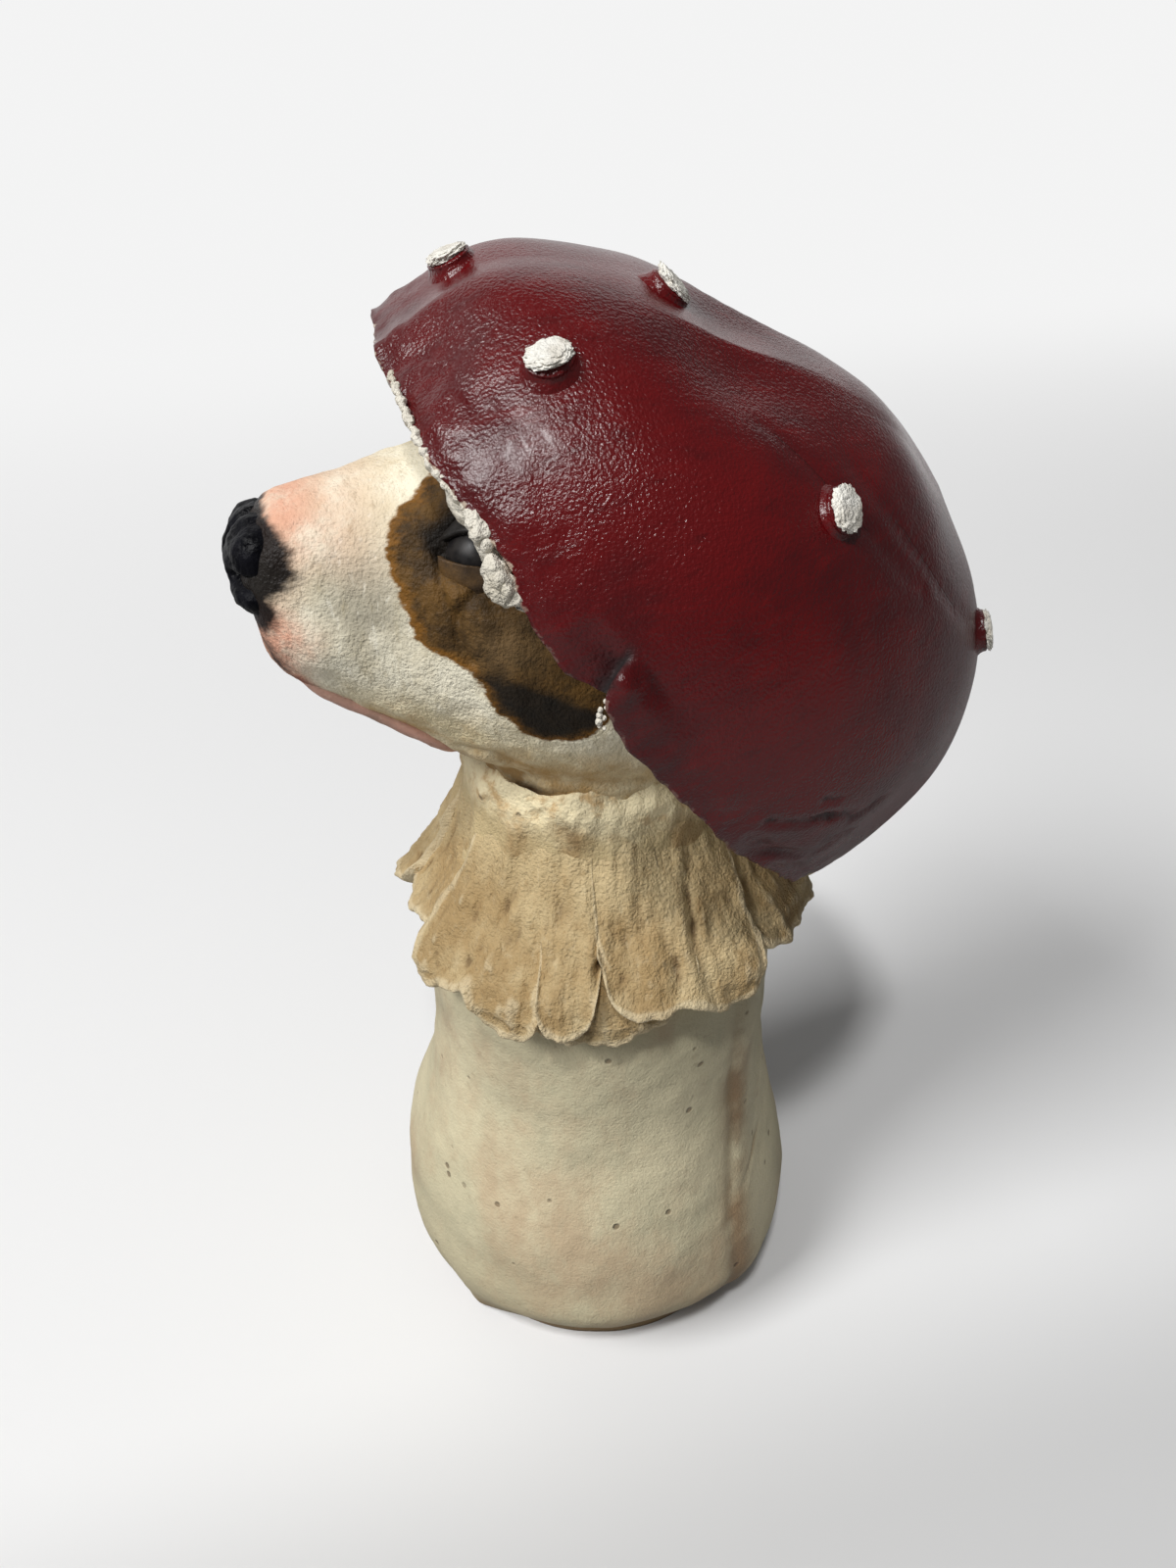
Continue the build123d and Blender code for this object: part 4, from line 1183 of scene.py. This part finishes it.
def wart_frame(turn, lift, spin_by, lean_right, lean_up, share=1.0):
    away = np.linalg.norm(cap_points - dome(turn, lift), axis=1)
    out = Vector(cap_normals[away < 3.5].mean(axis=0)).normalized()
    leaning = (out + (photo_right * lean_right + photo_up * lean_up) * share).normalized()
    at = Vector(cap_shape[int(away.argmin())]) + (out - leaning) * 1.2
    upright = leaning.to_track_quat("Z", "Y").to_matrix().to_4x4()
    return Matrix.Translation(at) @ upright @ Matrix.Rotation(spin_by, 4, "Z")

def stud(number, frame_at):
    bm = bmesh.new()
    line = [bm.verts.new((r, 0, h)) for r, h in stud_profile]
    edges = [bm.edges.new(pair) for pair in zip(line, line[1:])]
    bmesh.ops.subdivide_edges(bm, edges=edges, cuts=3, smooth=0.6)
    spun(bm, 56, 0.01)
    bmesh.ops.holes_fill(bm, edges=[e for e in bm.edges if e.is_boundary])
    face_out(bm)
    points = gather(bm)
    place(bm, points * (1 + 0.07 * rough(points + number * 9, 3.5, 1, 2))[:, None] * np.array((1.0, 0.9, 1.0)))
    bmesh.ops.transform(bm, matrix=frame_at, verts=bm.verts)
    return to_mesh(bm)

def crown(number, frame_at):
    bm = bmesh.new()
    bmesh.ops.create_icosphere(bm, subdivisions=6, radius=1)
    points = gather(bm)
    bumpy = 1 + 0.16 * rough(points + number * 5, 0.55, 2, 3) + 0.10 * rough(points + number * 3, 0.2, 4, 2)
    reach = np.hypot(points[:, 0], points[:, 1])[:, None]
    points[:, :2] *= np.maximum(reach, 0.02) ** -0.45
    place(bm, points * bumpy[:, None] * np.array((3.2, 2.8, 0.75)) + np.array((0, 0, 1.35)))
    bmesh.ops.transform(bm, matrix=frame_at, verts=bm.verts)
    return to_mesh(bm)

for number, wart in enumerate(warts, 1):
    stud_mesh = stud(number, wart_frame(*wart, share=0.35))
    keep_masks(stud_mesh, rim=9.0, bare=0.0, slit=0.0)
    finished(stud_mesh, f"stud_{number:02d}", cap_glaze, f"wart_stud_{number:02d}", 6)
    finished(crown(number, wart_frame(*wart)), f"crown_{number:02d}", wart_white, f"wart_crown_{number:02d}", 8)
